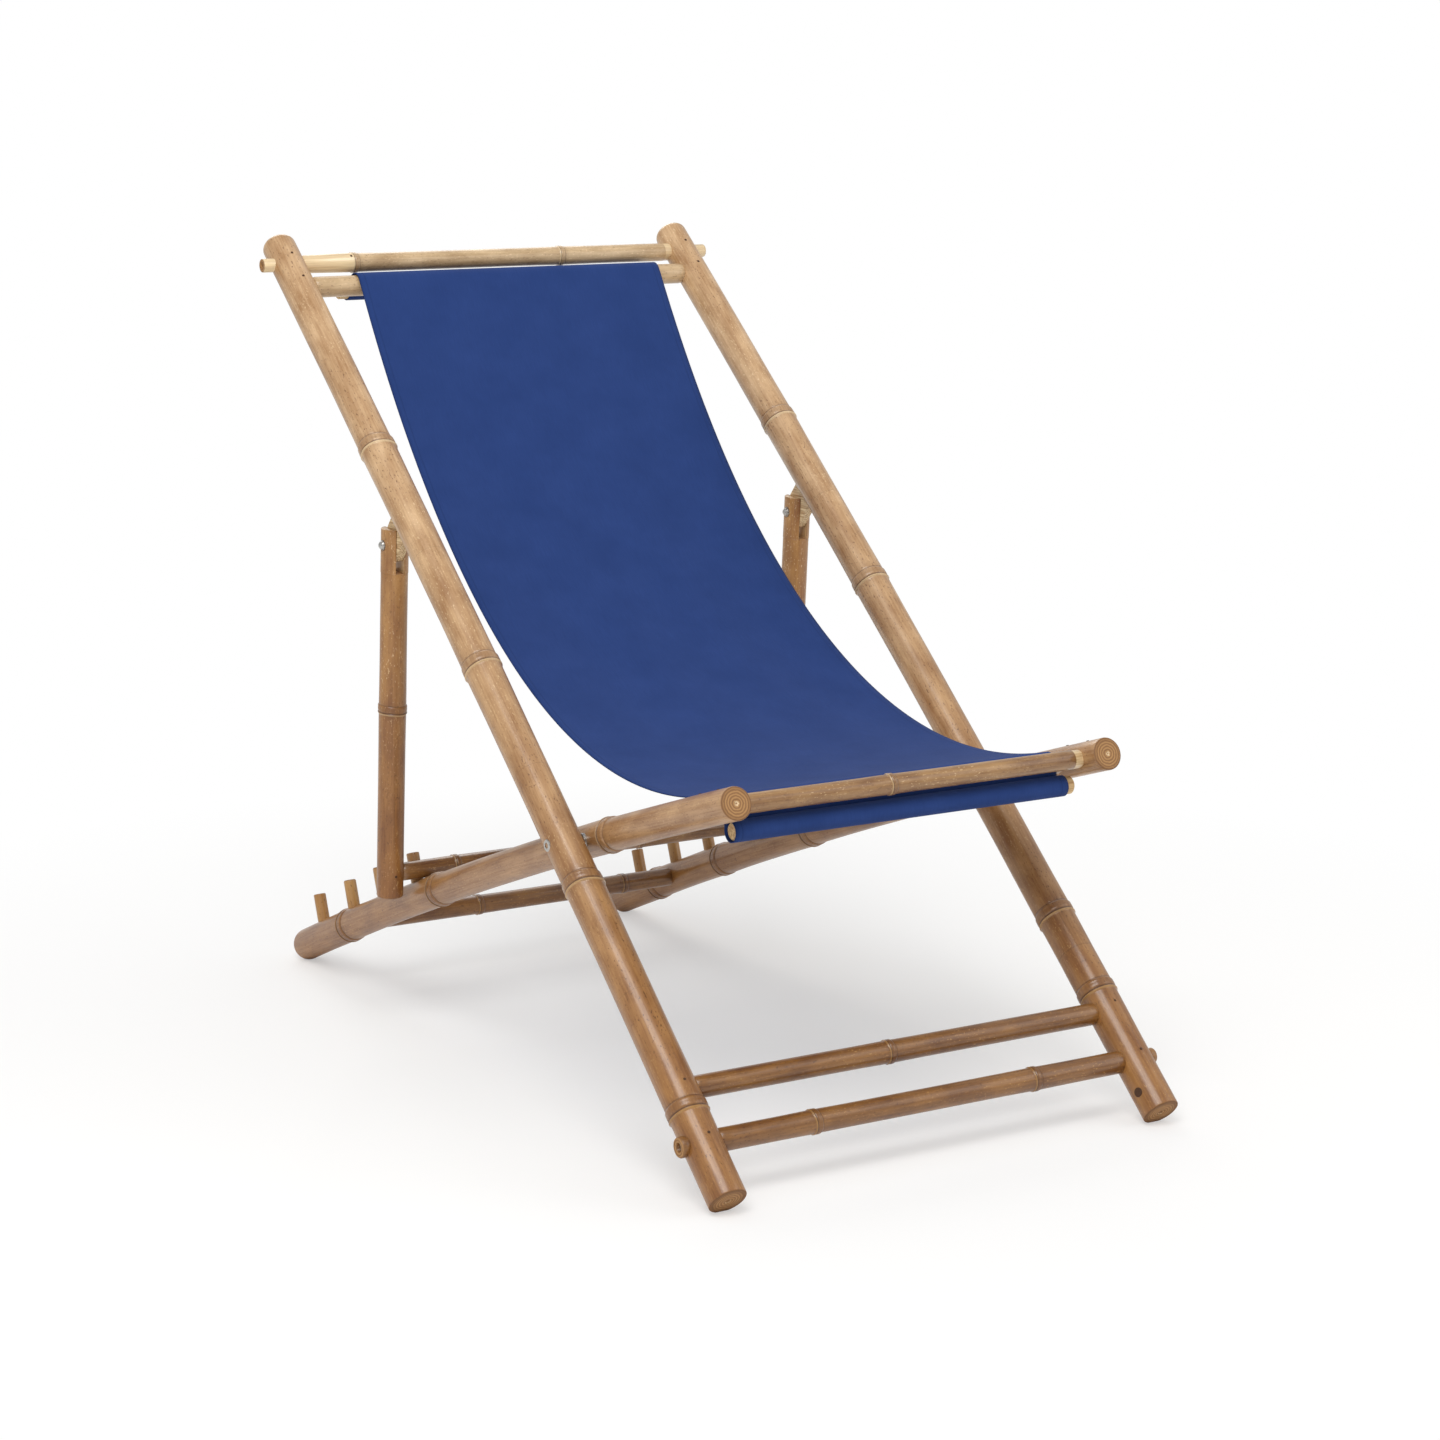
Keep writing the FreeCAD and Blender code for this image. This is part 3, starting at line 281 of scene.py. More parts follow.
def tube_faces(rows, around):
    """Quads round a tube and a fan of triangles at each end, for folded rows."""
    row, column = np.meshgrid(np.arange(rows - 3), np.arange(around), indexing="ij")
    here = 1 + row * around + column
    beside = 1 + row * around + (column + 1) % around
    quads = np.stack([here, beside, beside + around, here + around], -1).reshape(-1, 4)
    ring = np.arange(around)
    turn = (ring + 1) % around
    last = 1 + (rows - 3) * around
    tip = 1 + (rows - 2) * around
    low = np.stack([np.zeros(around, int), 1 + turn, 1 + ring], -1)
    high = np.stack([np.full(around, tip), last + ring, last + turn], -1)
    return quads, np.concatenate([low, high])


def signed_volume(vertices, quads, fans):
    """A sixth of the sum of a . (b x c) over the triangles: positive if they face out."""
    corners = vertices[np.concatenate([quads[:, :3], quads[:, [0, 2, 3]], fans])]
    return np.einsum("ij,ij->", corners[:, 0], np.cross(corners[:, 1], corners[:, 2])) / 6


def tube(name, points, marks):
    """A closed mesh through a grid of points, with one attribute for each mark.

    The grid runs along the first index and closes round the second. Faces point
    outwards, whichever way the grid was laid.
    """
    vertices = folded(points)
    quads, fans = tube_faces(*points.shape[:2])
    if signed_volume(vertices, quads, fans) < 0:
        quads, fans = quads[:, ::-1], fans[:, ::-1]
    mesh = bpy.data.meshes.new(name)
    mesh.from_pydata(vertices, [], quads.tolist() + fans.tolist())
    mesh.shade_smooth()
    for mark, grid in marks.items():
        values = folded(grid)
        kind, field = ("FLOAT_VECTOR", "vector") if values.ndim == 2 else ("FLOAT", "value")
        layer = mesh.attributes.new(mark, kind, "POINT")
        layer.data.foreach_set(field, values.astype(np.float32).ravel())
    piece = bpy.data.objects.new(name, mesh)
    bpy.context.scene.collection.objects.link(piece)
    return piece


def merged(name, pieces):
    """Several closed meshes as one piece."""
    first = pieces[0]
    if len(pieces) > 1:
        with bpy.context.temp_override(active_object=first, selected_editable_objects=pieces):
            bpy.ops.object.join()
    first.name = name
    first.data.name = name
    return first


def place(piece, body, slot, material, *nodes):
    """Gives a piece its material and body and hides the CAD nodes that it stands for. The slot is
    not used.
    """
    piece.data.materials.clear()
    piece.data.materials.append(material)
    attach(piece, body)
    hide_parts(*nodes)


# Culms

class Culm:
    """The skin of one length of bamboo, as a radius for every station and angle.

    Between nodes the radius steps smoothly from one internode to the next and is a
    little less in the middle. Over a node at distance d, measured on a culm 40 mm
    thick, it adds a thin ridge at the sheath scar with a groove behind it, then a
    broad swelling that ends in a second, rounder ridge, each a Gaussian of d. The
    node's plane is slanted and wavy, a shallow bud channel runs up from it, and the
    section is slightly oval.
    """

    # relief over a node: share of the ridge, place and width in mm
    RELIEF = ((0.75, -4, 1.1), (-0.55, -2.4, 0.8), (0.85, 1.8, 5), (0.35, 6, 1.6),
              (-0.3, 8.6, 1.1))
    STEP_BLEND = 4 * MM
    # the bud channel's half width as an angle, and how soon it fades upwards
    CHANNEL_HALF = 0.24
    CHANNEL_FADE = 55 * MM
    WAIST_REACH = 45 * MM
    # how far the section departs from a circle, and how far that wanders along the culm
    OVAL = 0.006
    WANDER = 0.004

    def __init__(self, nodes, radii, ridge, seed):
        self.nodes, self.radii, self.ridge, self.seed = nodes, radii, ridge, seed
        self.scale = float(radii[0]) / (20 * MM)
        self.random = np.random.default_rng(seed)
        self.lean = self.random.uniform(0.3, 1.3, len(nodes)) * MM
        self.turn = self.random.uniform(0, 2 * math.pi, len(nodes) + 1)

    def gaps(self, s, t):
        """Distances to every node, as they would be on a culm 40 mm thick."""
        return [(s - node) / self.scale - lean * (np.cos(t - turn) + 0.3 * np.sin(3 * t + turn))
                for node, lean, turn in zip(self.nodes, self.lean, self.turn)]

    def nearest(self, s, t):
        """The signed distance to the nearest node."""
        gaps = np.stack([np.broadcast_to(gap, np.broadcast_shapes(s.shape, t.shape))
                         for gap in self.gaps(s, t)])
        pick = np.abs(gaps).argmin(0)
        return np.take_along_axis(gaps, pick[None], 0)[0]

    def radius(self, s, t):
        """The radius at stations s and angles t."""
        radius = np.full(np.broadcast_shapes(s.shape, t.shape), self.radii[0])
        for count, gap in enumerate(self.gaps(s, t)):
            step = self.radii[count + 1] - self.radii[count]
            radius += step * (0.5 + 0.5 * np.tanh(gap / self.STEP_BLEND))
            radius += self.ridge * sum(share * np.exp(-((gap - at * MM) / (width * MM)) ** 2)
                                       for share, at, width in self.RELIEF)
            away = np.angle(np.exp(1j * (t - self.turn[count] - math.pi * count)))
            channel = np.exp(-(away / self.CHANNEL_HALF) ** 2
                             - np.clip(gap, 0, None) / self.CHANNEL_FADE)
            radius -= 0.4 * self.ridge * channel * (0.5 + 0.5 * np.tanh((gap - 7 * MM) / (2 * MM)))
        waist = 1 - np.exp(-(self.nearest(s, t) / self.WAIST_REACH) ** 2)
        wander = np.sin(s * 41 + self.turn[0]) * np.cos(t + self.turn[-1] + s * 9)
        oval = np.cos(2 * (t - self.turn[-1]))
        uneven = 1 + self.OVAL * oval + self.WANDER * wander
        return radius * uneven - 0.25 * self.ridge * waist


def stations(low, high, nodes, step):
    """Stations from end to end, close together over the nodes."""
    spread = np.linspace(low, high, int((high - low) / step) + 2)
    near = np.linspace(-11 * MM, 11 * MM, 45)
    every = np.concatenate([spread] + [node + near for node in nodes])
    every = np.unique(np.round(every, 4))
    return every[(every > low + 1.2 * MM) & (every < high - 1.2 * MM)]


def tenon_rows(tenon, length, hole):
    """Rows over a whittled tenon: its hollow middle, its rounded edge and its side."""
    return [(5 * MM, 0, 0, 1, 1), (5 * MM, 0, hole, 1, 1), (0.4 * MM, 0, hole, 1, 1),
            (0, 0, hole + 0.4 * MM, 1, 1), (0, 0, tenon - 1.2 * MM, 1, 1),
            (0.3 * MM, 0, tenon - 0.4 * MM, 0.6, 1), (1.1 * MM, 0, tenon, 0, 1),
            (length - 0.3 * MM, 0, tenon, 0, 1), (length, 0, tenon + 0.3 * MM, 0, 1)]


def end_rows(kind, **shape):
    """Rows over one end of a culm, from its middle outwards.

    A row is (distance inwards, share of the skin's radius, radius added, bare, pale).
    A sawn end has a rounded rim and a hole, a domed one is a quarter of an ellipse, and
    a tenon or a knob stands before a shoulder that tapers up to the skin.
    """
    if kind == "sawn":
        hole, depth, rim = shape["hole"], shape["depth"], shape["rim"]
        rows = [(depth, 0, 0, 0, 0), (depth, 0, hole, 0, 0), (0.5 * MM, 0, hole, 0.5, 0),
                (0, 0, hole + 0.5 * MM, 1, 0)]
        rows += [(0, share, 0, 1, 0) for share in (0.4, 0.6, 0.75, 0.88)]
        rows += [(rim * (1 - math.sin(angle)), 1, -rim * (1 - math.cos(angle)), bare, 0)
                 for angle, bare in ((1.57, 1), (1.15, 1), (0.75, 0.8), (0.35, 0.2), (0, 0))]
        return rows
    if kind == "domed":
        length, drop, bare, pale = (shape[key] for key in ("length", "drop", "bare", "pale"))
        angles = np.linspace(math.pi / 2, 0, 12)
        rows = [(0, 0, 0, bare, pale), (0, 0.08, 0, bare, pale)]
        rows += [(length * (1 - math.sin(angle)), 1, -drop * (1 - math.cos(angle)),
                  bare * min(1, 1.6 * angle), pale * min(1, 1.3 * angle)) for angle in angles]
        return rows
    tenon, length, peel = shape["tenon"], shape["length"], shape["peel"]
    hole, peeled = shape["hole"], 0 if peel < SHORT_PEEL else 1
    if kind == "knob":
        knob = shape["knob"]
        rows = [(12 * MM, 0, 0, 0, 0), (12 * MM, 0, hole, 0, 0), (4 * MM, 0, hole, 0.2, 0),
                (3 * MM, 0, hole + 0.8 * MM, 1, 0), (2.6 * MM, 0, knob - 2.4 * MM, 1, 0),
                (3.2 * MM, 0, knob - 0.8 * MM, 0.9, 0), (4.4 * MM, 0, knob, 0.4, 0),
                (length - 33 * MM, 0, knob, 0, 0), (length - 32 * MM, 0, tenon, 0, 0),
                (length, 0, tenon + 0.3 * MM, 0, 0)]
    else:
        rows = tenon_rows(tenon, length, hole)
    rows += [(length + reach * MM, 1, -inset * MM, 0, peeled)
             for reach, inset in ((0, 2.4), (0.3, 1.6), (0.9, 0.9), (2, 0.5))]
    rows += [(length + peel, 1, -0.3 * MM, 0, peeled), (length + peel + 0.6 * MM, 1, 0, 0, 0)]
    return rows


def culm_grid(culm, low, high, low_end, high_end, step, around):
    """Stations, radii and marks of a culm with both of its ends, as a grid.

    Returns (s, t, r, marks): the point at row i and column j lies at station s[i] of
    the middle line, turned by t[j] and r[i, j] away from it.
    """
    low_rows = np.array([(low + row[0], *row[1:]) for row in low_end])
    high_rows = np.array([(high - row[0], *row[1:]) for row in high_end])[::-1]
    skin = stations(low_rows[-1, 0], high_rows[0, 0], culm.nodes, step)
    plain = np.zeros((len(skin), 5))
    plain[:, 0], plain[:, 1] = skin, 1
    rows = np.concatenate([low_rows, plain, high_rows])
    s, share, extra, bare, pale = (column[:, None] for column in rows.T)
    t = np.linspace(0, 2 * math.pi, around, endpoint=False)[None]
    r = np.clip(share * culm.radius(s, t) + extra, 0, None)
    r[[0, -1]] = 0
    wide = np.ones_like(r)
    grown = np.stack([r * np.cos(t), r * np.sin(t), s * wide + 3.7 * culm.seed], -1)
    marks = {"culm": grown, "node_gap": culm.nearest(s, t), "bare": bare * wide,
             "pale": pale * wide}
    return s, t, r, marks


SAWN = {"kind": "sawn", "hole": 2.6 * MM, "depth": 9 * MM, "rim": 1.6 * MM}


def pole_mesh(name, pole, side, x, low_end, high_end, seed):
    """A long culm along its bowed middle line, its feet level with the floor."""
    culm = Culm(pole.nodes, pole.radii, sizes().pole_ridge, seed)
    s, t, r, marks = culm_grid(culm, pole.low, pole.high, end_rows(**low_end),
                               end_rows(**high_end), 9 * MM, 80)
    points = side.world(x + r * np.cos(t), pole.off(s) + r * np.sin(t), s)
    points[..., 2] = np.maximum(points[..., 2], 0)
    return tube(name, points, marks)


# Materials

def linear(code):
    """An sRGB hex colour as linear red, green, blue and alpha."""
    parts = [int(code[start:start + 2], 16) / 255 for start in (0, 2, 4)]
    return [part / 12.92 if part <= 0.04045 else ((part + 0.055) / 1.055) ** 2.4
            for part in parts] + [1]


def add(tree, kind, inputs=None, **settings):
    """A shader node with its settings, and with values or links at its inputs."""
    made = tree.nodes.new("ShaderNode" + kind)
    for key, value in settings.items():
        setattr(made, key, value)
    for key, value in (inputs or {}).items():
        if isinstance(value, bpy.types.NodeSocket):
            tree.links.new(value, made.inputs[key])
        else:
            made.inputs[key].default_value = value
    return made


def blank(name):
    """A new material, its node tree and its surface shader."""
    material = bpy.data.materials.new(name)
    material.use_nodes = True
    tree = material.node_tree
    return material, tree, tree.nodes["Principled BSDF"]


def mark(tree, name, field="Fac"):
    return add(tree, "Attribute", attribute_name=name).outputs[field]


def mix(tree, share, first, second):
    """A colour between two others."""
    return add(tree, "Mix", {0: share, 6: first, 7: second}, data_type="RGBA").outputs[2]


def noise(tree, vector, scale, detail=3.0, rough=0.55):
    inputs = {"Vector": vector, "Scale": scale, "Detail": detail, "Roughness": rough}
    return add(tree, "TexNoise", inputs).outputs["Fac"]


def stretched(tree, vector, along):
    """Coordinates drawn out along a culm."""
    return add(tree, "Mapping", {"Vector": vector, "Scale": (1, 1, along)}).outputs["Vector"]


def between(tree, value, low, high, to_low=0.0, to_high=1.0):
    """A value carried from one range to another and kept within it."""
    inputs = {"Value": value, "From Min": low, "From Max": high, "To Min": to_low,
              "To Max": to_high}
    return add(tree, "MapRange", inputs).outputs["Result"]


def maths(tree, kind, first, second=0.0):
    return add(tree, "Math", {0: first, 1: second}, operation=kind).outputs[0]


def line_at(tree, gap, at, width):
    """1 on a line at a distance from a node, fading to 0 at half its width."""
    away = maths(tree, "ABSOLUTE", maths(tree, "SUBTRACT", gap, at))
    return between(tree, away, 0.0, width, 1.0, 0.0)


def bump(tree, height, strength, distance):
    inputs = {"Height": height, "Strength": strength, "Distance": distance}
    return add(tree, "Bump", inputs).outputs["Normal"]


def bamboo(name, light, deep, gloss):
    """Bamboo: a satin skin with lengthwise streaks and specks, pale where it is peeled.

    Streaks are about 2 mm wide and 60 mm long, and specks and flecks a millimetre or
    two. A thin dark line lies in the groove of every node, a pale one on the ridge
    before it and a fainter one behind the swelling. Towards the ground the skin is
    multiplied darker, painted shade for the light that falls off low down. Sawn ends
    show rings 3 mm apart, with an uneven pale pith.
    """
    shades = colours()
    material, tree, surface = blank(name)
    grown = mark(tree, "culm", "Vector")
    gap = mark(tree, "node_gap")
    streak = noise(tree, stretched(tree, grown, 0.035), 480.0)
    mottle = noise(tree, stretched(tree, grown, 0.35), 55.0)
    spots = noise(tree, stretched(tree, grown, 0.45), 620.0, 2.0, 0.5)
    drift = noise(tree, stretched(tree, grown, 0.6), 14.0, 1.0)
    depth = maths(tree, "ADD", maths(tree, "MULTIPLY", streak, 0.45),
                  maths(tree, "MULTIPLY", mottle, 0.85))
    colour = mix(tree, between(tree, depth, 0.46, 0.84), linear(light), linear(deep))
    dots = maths(tree, "MULTIPLY", between(tree, spots, 0.62, 0.70),
                 between(tree, drift, 0.40, 0.60, 0.15, 0.8))
    colour = mix(tree, dots, colour, linear(shades.speck))
    flecks = maths(tree, "MULTIPLY", between(tree, spots, 0.38, 0.31),
                   between(tree, drift, 0.58, 0.42, 0.1, 0.7))
    colour = mix(tree, flecks, colour, linear(shades.fleck))
    for at, width, share, shade in ((0.002, 0.016, 0.28, shades.speck),
                                    (-0.0045, 0.002, 0.55, shades.pale_wood),
                                    (-0.0025, 0.0014, 0.85, shades.node_line),
                                    (0.0086, 0.0013, 0.5, shades.node_line)):
        line = maths(tree, "MULTIPLY", line_at(tree, gap, at, width), share)
        colour = mix(tree, line, colour, linear(shade))
    # Painted shade: the skin is multiplied darker from 0.66 m down to the floor, for the light that
    # falls off low down.
    height = add(tree, "SeparateXYZ", {0: add(tree, "TexCoord").outputs["Object"]}).outputs["Z"]
    colour = add(tree, "Mix", {0: between(tree, height, 0.66, 0.1), 6: colour,
                               7: linear(shades.shade)},
                 data_type="RGBA", blend_type="MULTIPLY").outputs[2]
    fibre = mix(tree, between(tree, streak, 0.35, 0.7), linear(shades.pale_wood), linear(light))
    colour = mix(tree, maths(tree, "MULTIPLY", mark(tree, "pale"), 0.9), colour, fibre)
    rings = add(tree, "TexWave", {"Vector": grown, "Scale": 105.0, "Distortion": 2.0,
                                  "Detail": 2.0, "Detail Scale": 2.0},
                wave_type="RINGS", rings_direction="Z").outputs["Fac"]
    across = add(tree, "VectorMath", {0: stretched(tree, grown, 0.0)},
                 operation="LENGTH").outputs["Value"]
    grain = mix(tree, maths(tree, "MULTIPLY", rings, 0.7), linear(shades.end_grain),
                linear(shades.speck))
    grain = mix(tree, between(tree, across, 0.012, 0.0175, 0.0, 0.75), grain,
                linear(shades.speck))
    uneven = maths(tree, "ADD", across, maths(tree, "MULTIPLY", noise(tree, grown, 420.0), 0.006))
    grain = mix(tree, between(tree, uneven, 0.0060, 0.0048, 0.0, 0.8), grain,
                linear(shades.fleck))
    colour = mix(tree, mark(tree, "bare"), colour, grain)
    rough = between(tree, streak, 0.3, 0.75, 0.5 - 0.18 * gloss, 0.62 - 0.18 * gloss)
    rough = maths(tree, "MAXIMUM", rough, maths(tree, "MULTIPLY", mark(tree, "bare"), 0.75))
    tree.links.new(colour, surface.inputs["Base Color"])
    tree.links.new(rough, surface.inputs["Roughness"])
    coat = between(tree, mark(tree, "bare"), 0.0, 0.6, 0.5 * gloss, 0.0)
    tree.links.new(coat, surface.inputs["Coat Weight"])
    surface.inputs["Coat Roughness"].default_value = 0.16
    tree.links.new(bump(tree, streak, 0.25, 0.0004), surface.inputs["Normal"])
    return material


def split_bamboo(angle):
    """Sanded split bamboo: fibres 1 mm apart along the plate, which is turned about X."""
    shades = colours()
    material, tree, surface = blank("sanded_split_bamboo")
    flat = add(tree, "TexCoord").outputs["Object"]
    turned = add(tree, "Mapping", {"Vector": flat, "Rotation": (angle, 0, 0),
                                   "Scale": (1, 0.05, 1)}).outputs["Vector"]
    fibre = noise(tree, turned, 700.0)
    colour = mix(tree, between(tree, fibre, 0.35, 0.7), linear(shades.pale_wood),
                 linear(shades.pole_deep))
    tree.links.new(colour, surface.inputs["Base Color"])
    surface.inputs["Roughness"].default_value = 0.55
    tree.links.new(bump(tree, fibre, 0.2, 0.0003), surface.inputs["Normal"])
    return material


def zinc_plate():
    """Zinc-plated steel, slightly cloudy on a scale of 3 mm."""
    material, tree, surface = blank("zinc_plated_steel")
    cloud = noise(tree, add(tree, "TexCoord").outputs["Object"], 330.0)
    surface.inputs["Base Color"].default_value = linear(colours().steel)
    surface.inputs["Metallic"].default_value = 1
    tree.links.new(between(tree, cloud, 0.3, 0.7, 0.22, 0.38), surface.inputs["Roughness"])
    return material


def raw_dowel():
    """Raw softwood with a lengthwise grain 2 mm wide."""
    material, tree, surface = blank("raw_softwood_dowel")
    flat = add(tree, "TexCoord").outputs["Object"]
    along = add(tree, "Mapping", {"Vector": flat, "Scale": (0.04, 1, 1)}).outputs["Vector"]
    grain = noise(tree, along, 450.0)
    colour = mix(tree, between(tree, grain, 0.4, 0.7), linear(colours().dowel),
                 linear(colours().pole_deep))
    tree.links.new(colour, surface.inputs["Base Color"])
    surface.inputs["Roughness"].default_value = 0.7
    return material


def painted_hole_shade():
    """Painted shade of the sunk nail holes and the knot hole: dark domes, rough on a scale of half
    a millimetre.
    """
    material, tree, surface = blank("dark_painted_hole_shade")
    grain = noise(tree, add(tree, "TexCoord").outputs["Object"], 1800.0)
    colour = mix(tree, between(tree, grain, 0.3, 0.7), linear(colours().hole_shade),
                 linear(colours().node_line))
    tree.links.new(colour, surface.inputs["Base Color"])
    surface.inputs["Roughness"].default_value = 0.8
    return material


def cotton_canvas():
    """Plain-woven cotton canvas: threads 0.9 mm apart, a faint wear on a scale of 60 mm.

    A row of stitches runs 8 mm inside each edge.
    """
    material, tree, surface = blank("blue_cotton_canvas")
    cloth = mark(tree, "cloth", "Vector")
    warp = add(tree, "TexWave", {"Vector": cloth, "Scale": 350.0, "Distortion": 0.6},
               bands_direction="X").outputs["Fac"]
    weft = add(tree, "TexWave", {"Vector": cloth, "Scale": 350.0, "Distortion": 0.6},
               bands_direction="Y").outputs["Fac"]
    weave = maths(tree, "MULTIPLY", warp, weft)
    wear = noise(tree, cloth, 17.0)
    slub = noise(tree, add(tree, "Mapping", {"Vector": cloth, "Scale": (1, 0.06, 1)})
                 .outputs["Vector"], 900.0, 2.0)
    base = linear(colours().canvas)
    deep = [0.72 * part for part in base[:3]] + [1]
    pale = [1.15 * part + 0.003 for part in base[:3]] + [1]
    colour = mix(tree, between(tree, wear, 0.3, 0.7), base, pale)
    colour = mix(tree, between(tree, slub, 0.35, 0.75, 0.0, 0.35), colour, deep)
    colour = mix(tree, between(tree, weave, 0.0, 0.4, 0.25, 0.0), colour, deep)
    edge = mark(tree, "edge_gap")
    seam = between(tree, maths(tree, "ABSOLUTE", maths(tree, "SUBTRACT", edge, 0.008)),
                   0.0, 0.0011, 0.75, 0.0)
    colour = mix(tree, seam, colour, deep)
    colour = mix(tree, between(tree, edge, 0.0, 0.0016, 0.6, 0.0), colour, deep)
    tree.links.new(colour, surface.inputs["Base Color"])
    surface.inputs["Roughness"].default_value = 0.92
    surface.inputs["Specular IOR Level"].default_value = 0.2
    surface.inputs["Sheen Weight"].default_value = 0.03
    surface.inputs["Sheen Roughness"].default_value = 0.5
    tree.links.new(bump(tree, weave, 0.3, 0.0003), surface.inputs["Normal"])
    return material


# Pieces

class RECLINER_OT_poles(bpy.types.Operator):
    """Draw the two long poles and the two seat poles"""

    bl_idname = "recliner.poles"
    bl_label = "Poles"

    def execute(self, context):
        skin = bamboo("bamboo_pole_skin", colours().pole_light, colours().pole_deep, 0.85)
        top = {"kind": "domed", "length": 11 * MM, "drop": 16.5 * MM, "bare": 0, "pale": 0.8}
        heel = {"kind": "domed", "length": 10 * MM, "drop": 10 * MM, "bare": 0.25, "pale": 0.3}
        front = dict(SAWN, hole=0.8 * MM, depth=0.6 * MM)
        for seed, (side, sign) in enumerate(SIDES.items(), 1):
            x = sign * sizes().back_spacing / 2
            piece = pole_mesh("long_pole_" + side, BACK_POLES[side], back_side(), x,
                              SAWN, top, seed)
            place(piece, "back_frame", "bamboo_pole", skin, "long_rail_" + side)
            x = sign * sizes().seat_spacing / 2
            piece = pole_mesh("seat_pole_" + side, SEAT_POLES[side], seat_side(), x,
                              heel, front, seed + 2)
            place(piece, "seat_frame", "bamboo_pole", skin, "seat_rail_" + side)
        return {"FINISHED"}


class RECLINER_OT_bars(bpy.types.Operator):
    """Draw the eight crossbars with their peeled shoulders and tenons"""

    bl_idname = "recliner.bars"
    bl_label = "Crossbars"

    # how far a shoulder is let into the round side of its pole
    LET_IN = 3.4 * MM
    # radii of the swollen ends that the lower stretcher has on the left and the right
    KNOBS = (10.6 * MM, 8.8 * MM)

    def shoulder(self, body):
        """How far from the middle a crossbar's shoulders lie."""
        return spacing_of(body) / 2 - MET_RADIUS[body] + self.LET_IN

    def execute(self, context):
        skin = bamboo("bamboo_bar_skin", colours().bar_light, colours().bar_deep, 1.0)
        pale = bamboo("pale_bamboo_bar_skin", colours().pale_bar_light,
                      colours().pale_bar_deep, 0.8)
        for seed, (name, (body, radius, nodes, peels)) in enumerate(BARS.items(), 11):
            low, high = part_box(name)
            shoulder = self.shoulder(body)
            nodes = np.array(nodes) * MM
            culm = Culm(nodes, np.full(len(nodes) + 1, radius * MM), sizes().bar_ridge, seed)
            kind, hole = ("knob", 4.4 * MM) if name == "lower_stretcher" else ("tenon", 3.4 * MM)
            ends = [end_rows(kind, tenon=sizes().tenon_radius, length=high.x - shoulder,
                             peel=peel * MM, hole=hole, knob=knob)
                    for knob, peel in zip(self.KNOBS, peels)]
            s, t, r, marks = culm_grid(culm, low.x, high.x, *ends, 9 * MM, 64)
            y, z = middle_of(name)
            points = np.stack([s + 0 * r, y + r * np.cos(t), z + r * np.sin(t)], -1)
            # The top bars take the paler skin, partly their own tone and partly painted light
            # because they sit highest.
            look = pale if name.startswith("top") else skin
            place(tube("bar_" + name, points, marks), body, "bamboo_bar", look, name)
        return {"FINISHED"}


class RECLINER_OT_pegs(bpy.types.Operator):
    """Draw the eight pegs on the seat poles"""

    bl_idname = "recliner.pegs"
    bl_label = "Pegs"

    # a peg is cut between nodes, so its nearest one lies below its root
    NODE_BELOW = np.array([-50 * MM])

    def execute(self, context):
        skin = bamboo("bamboo_peg_skin", colours().fleck, colours().pole_light, 0.6)
        root = {"kind": "sawn", "hole": 1 * MM, "depth": 1 * MM, "rim": 0.6 * MM}
        side = seat_side()
        seed = 31
        for word, sign in SIDES.items():
            x = sign * sizes().seat_spacing / 2
            for count, along in enumerate(-PEG_PLACES, 1):
                top = dict(root, rim=(1.8 if count in (2, 3) else 1.1) * MM)
                culm = Culm(self.NODE_BELOW, np.full(2, PEG_RADIUS), sizes().bar_ridge, seed)
                s, t, r, marks = culm_grid(culm, PEG_ROOT, PEG_TOP, end_rows(**root),
                                           end_rows(**top), 2 * MM, 48)
                points = side.world(x + r * np.cos(t), SEAT_POLES[word].off(along) + s,
                                    along + r * np.sin(t))
                name = "peg_%s_%d" % (word, count)
                place(tube("bamboo_" + name, points, marks), "seat_frame", "bamboo_peg", skin,
                      name)
                seed += 1
        return {"FINISHED"}


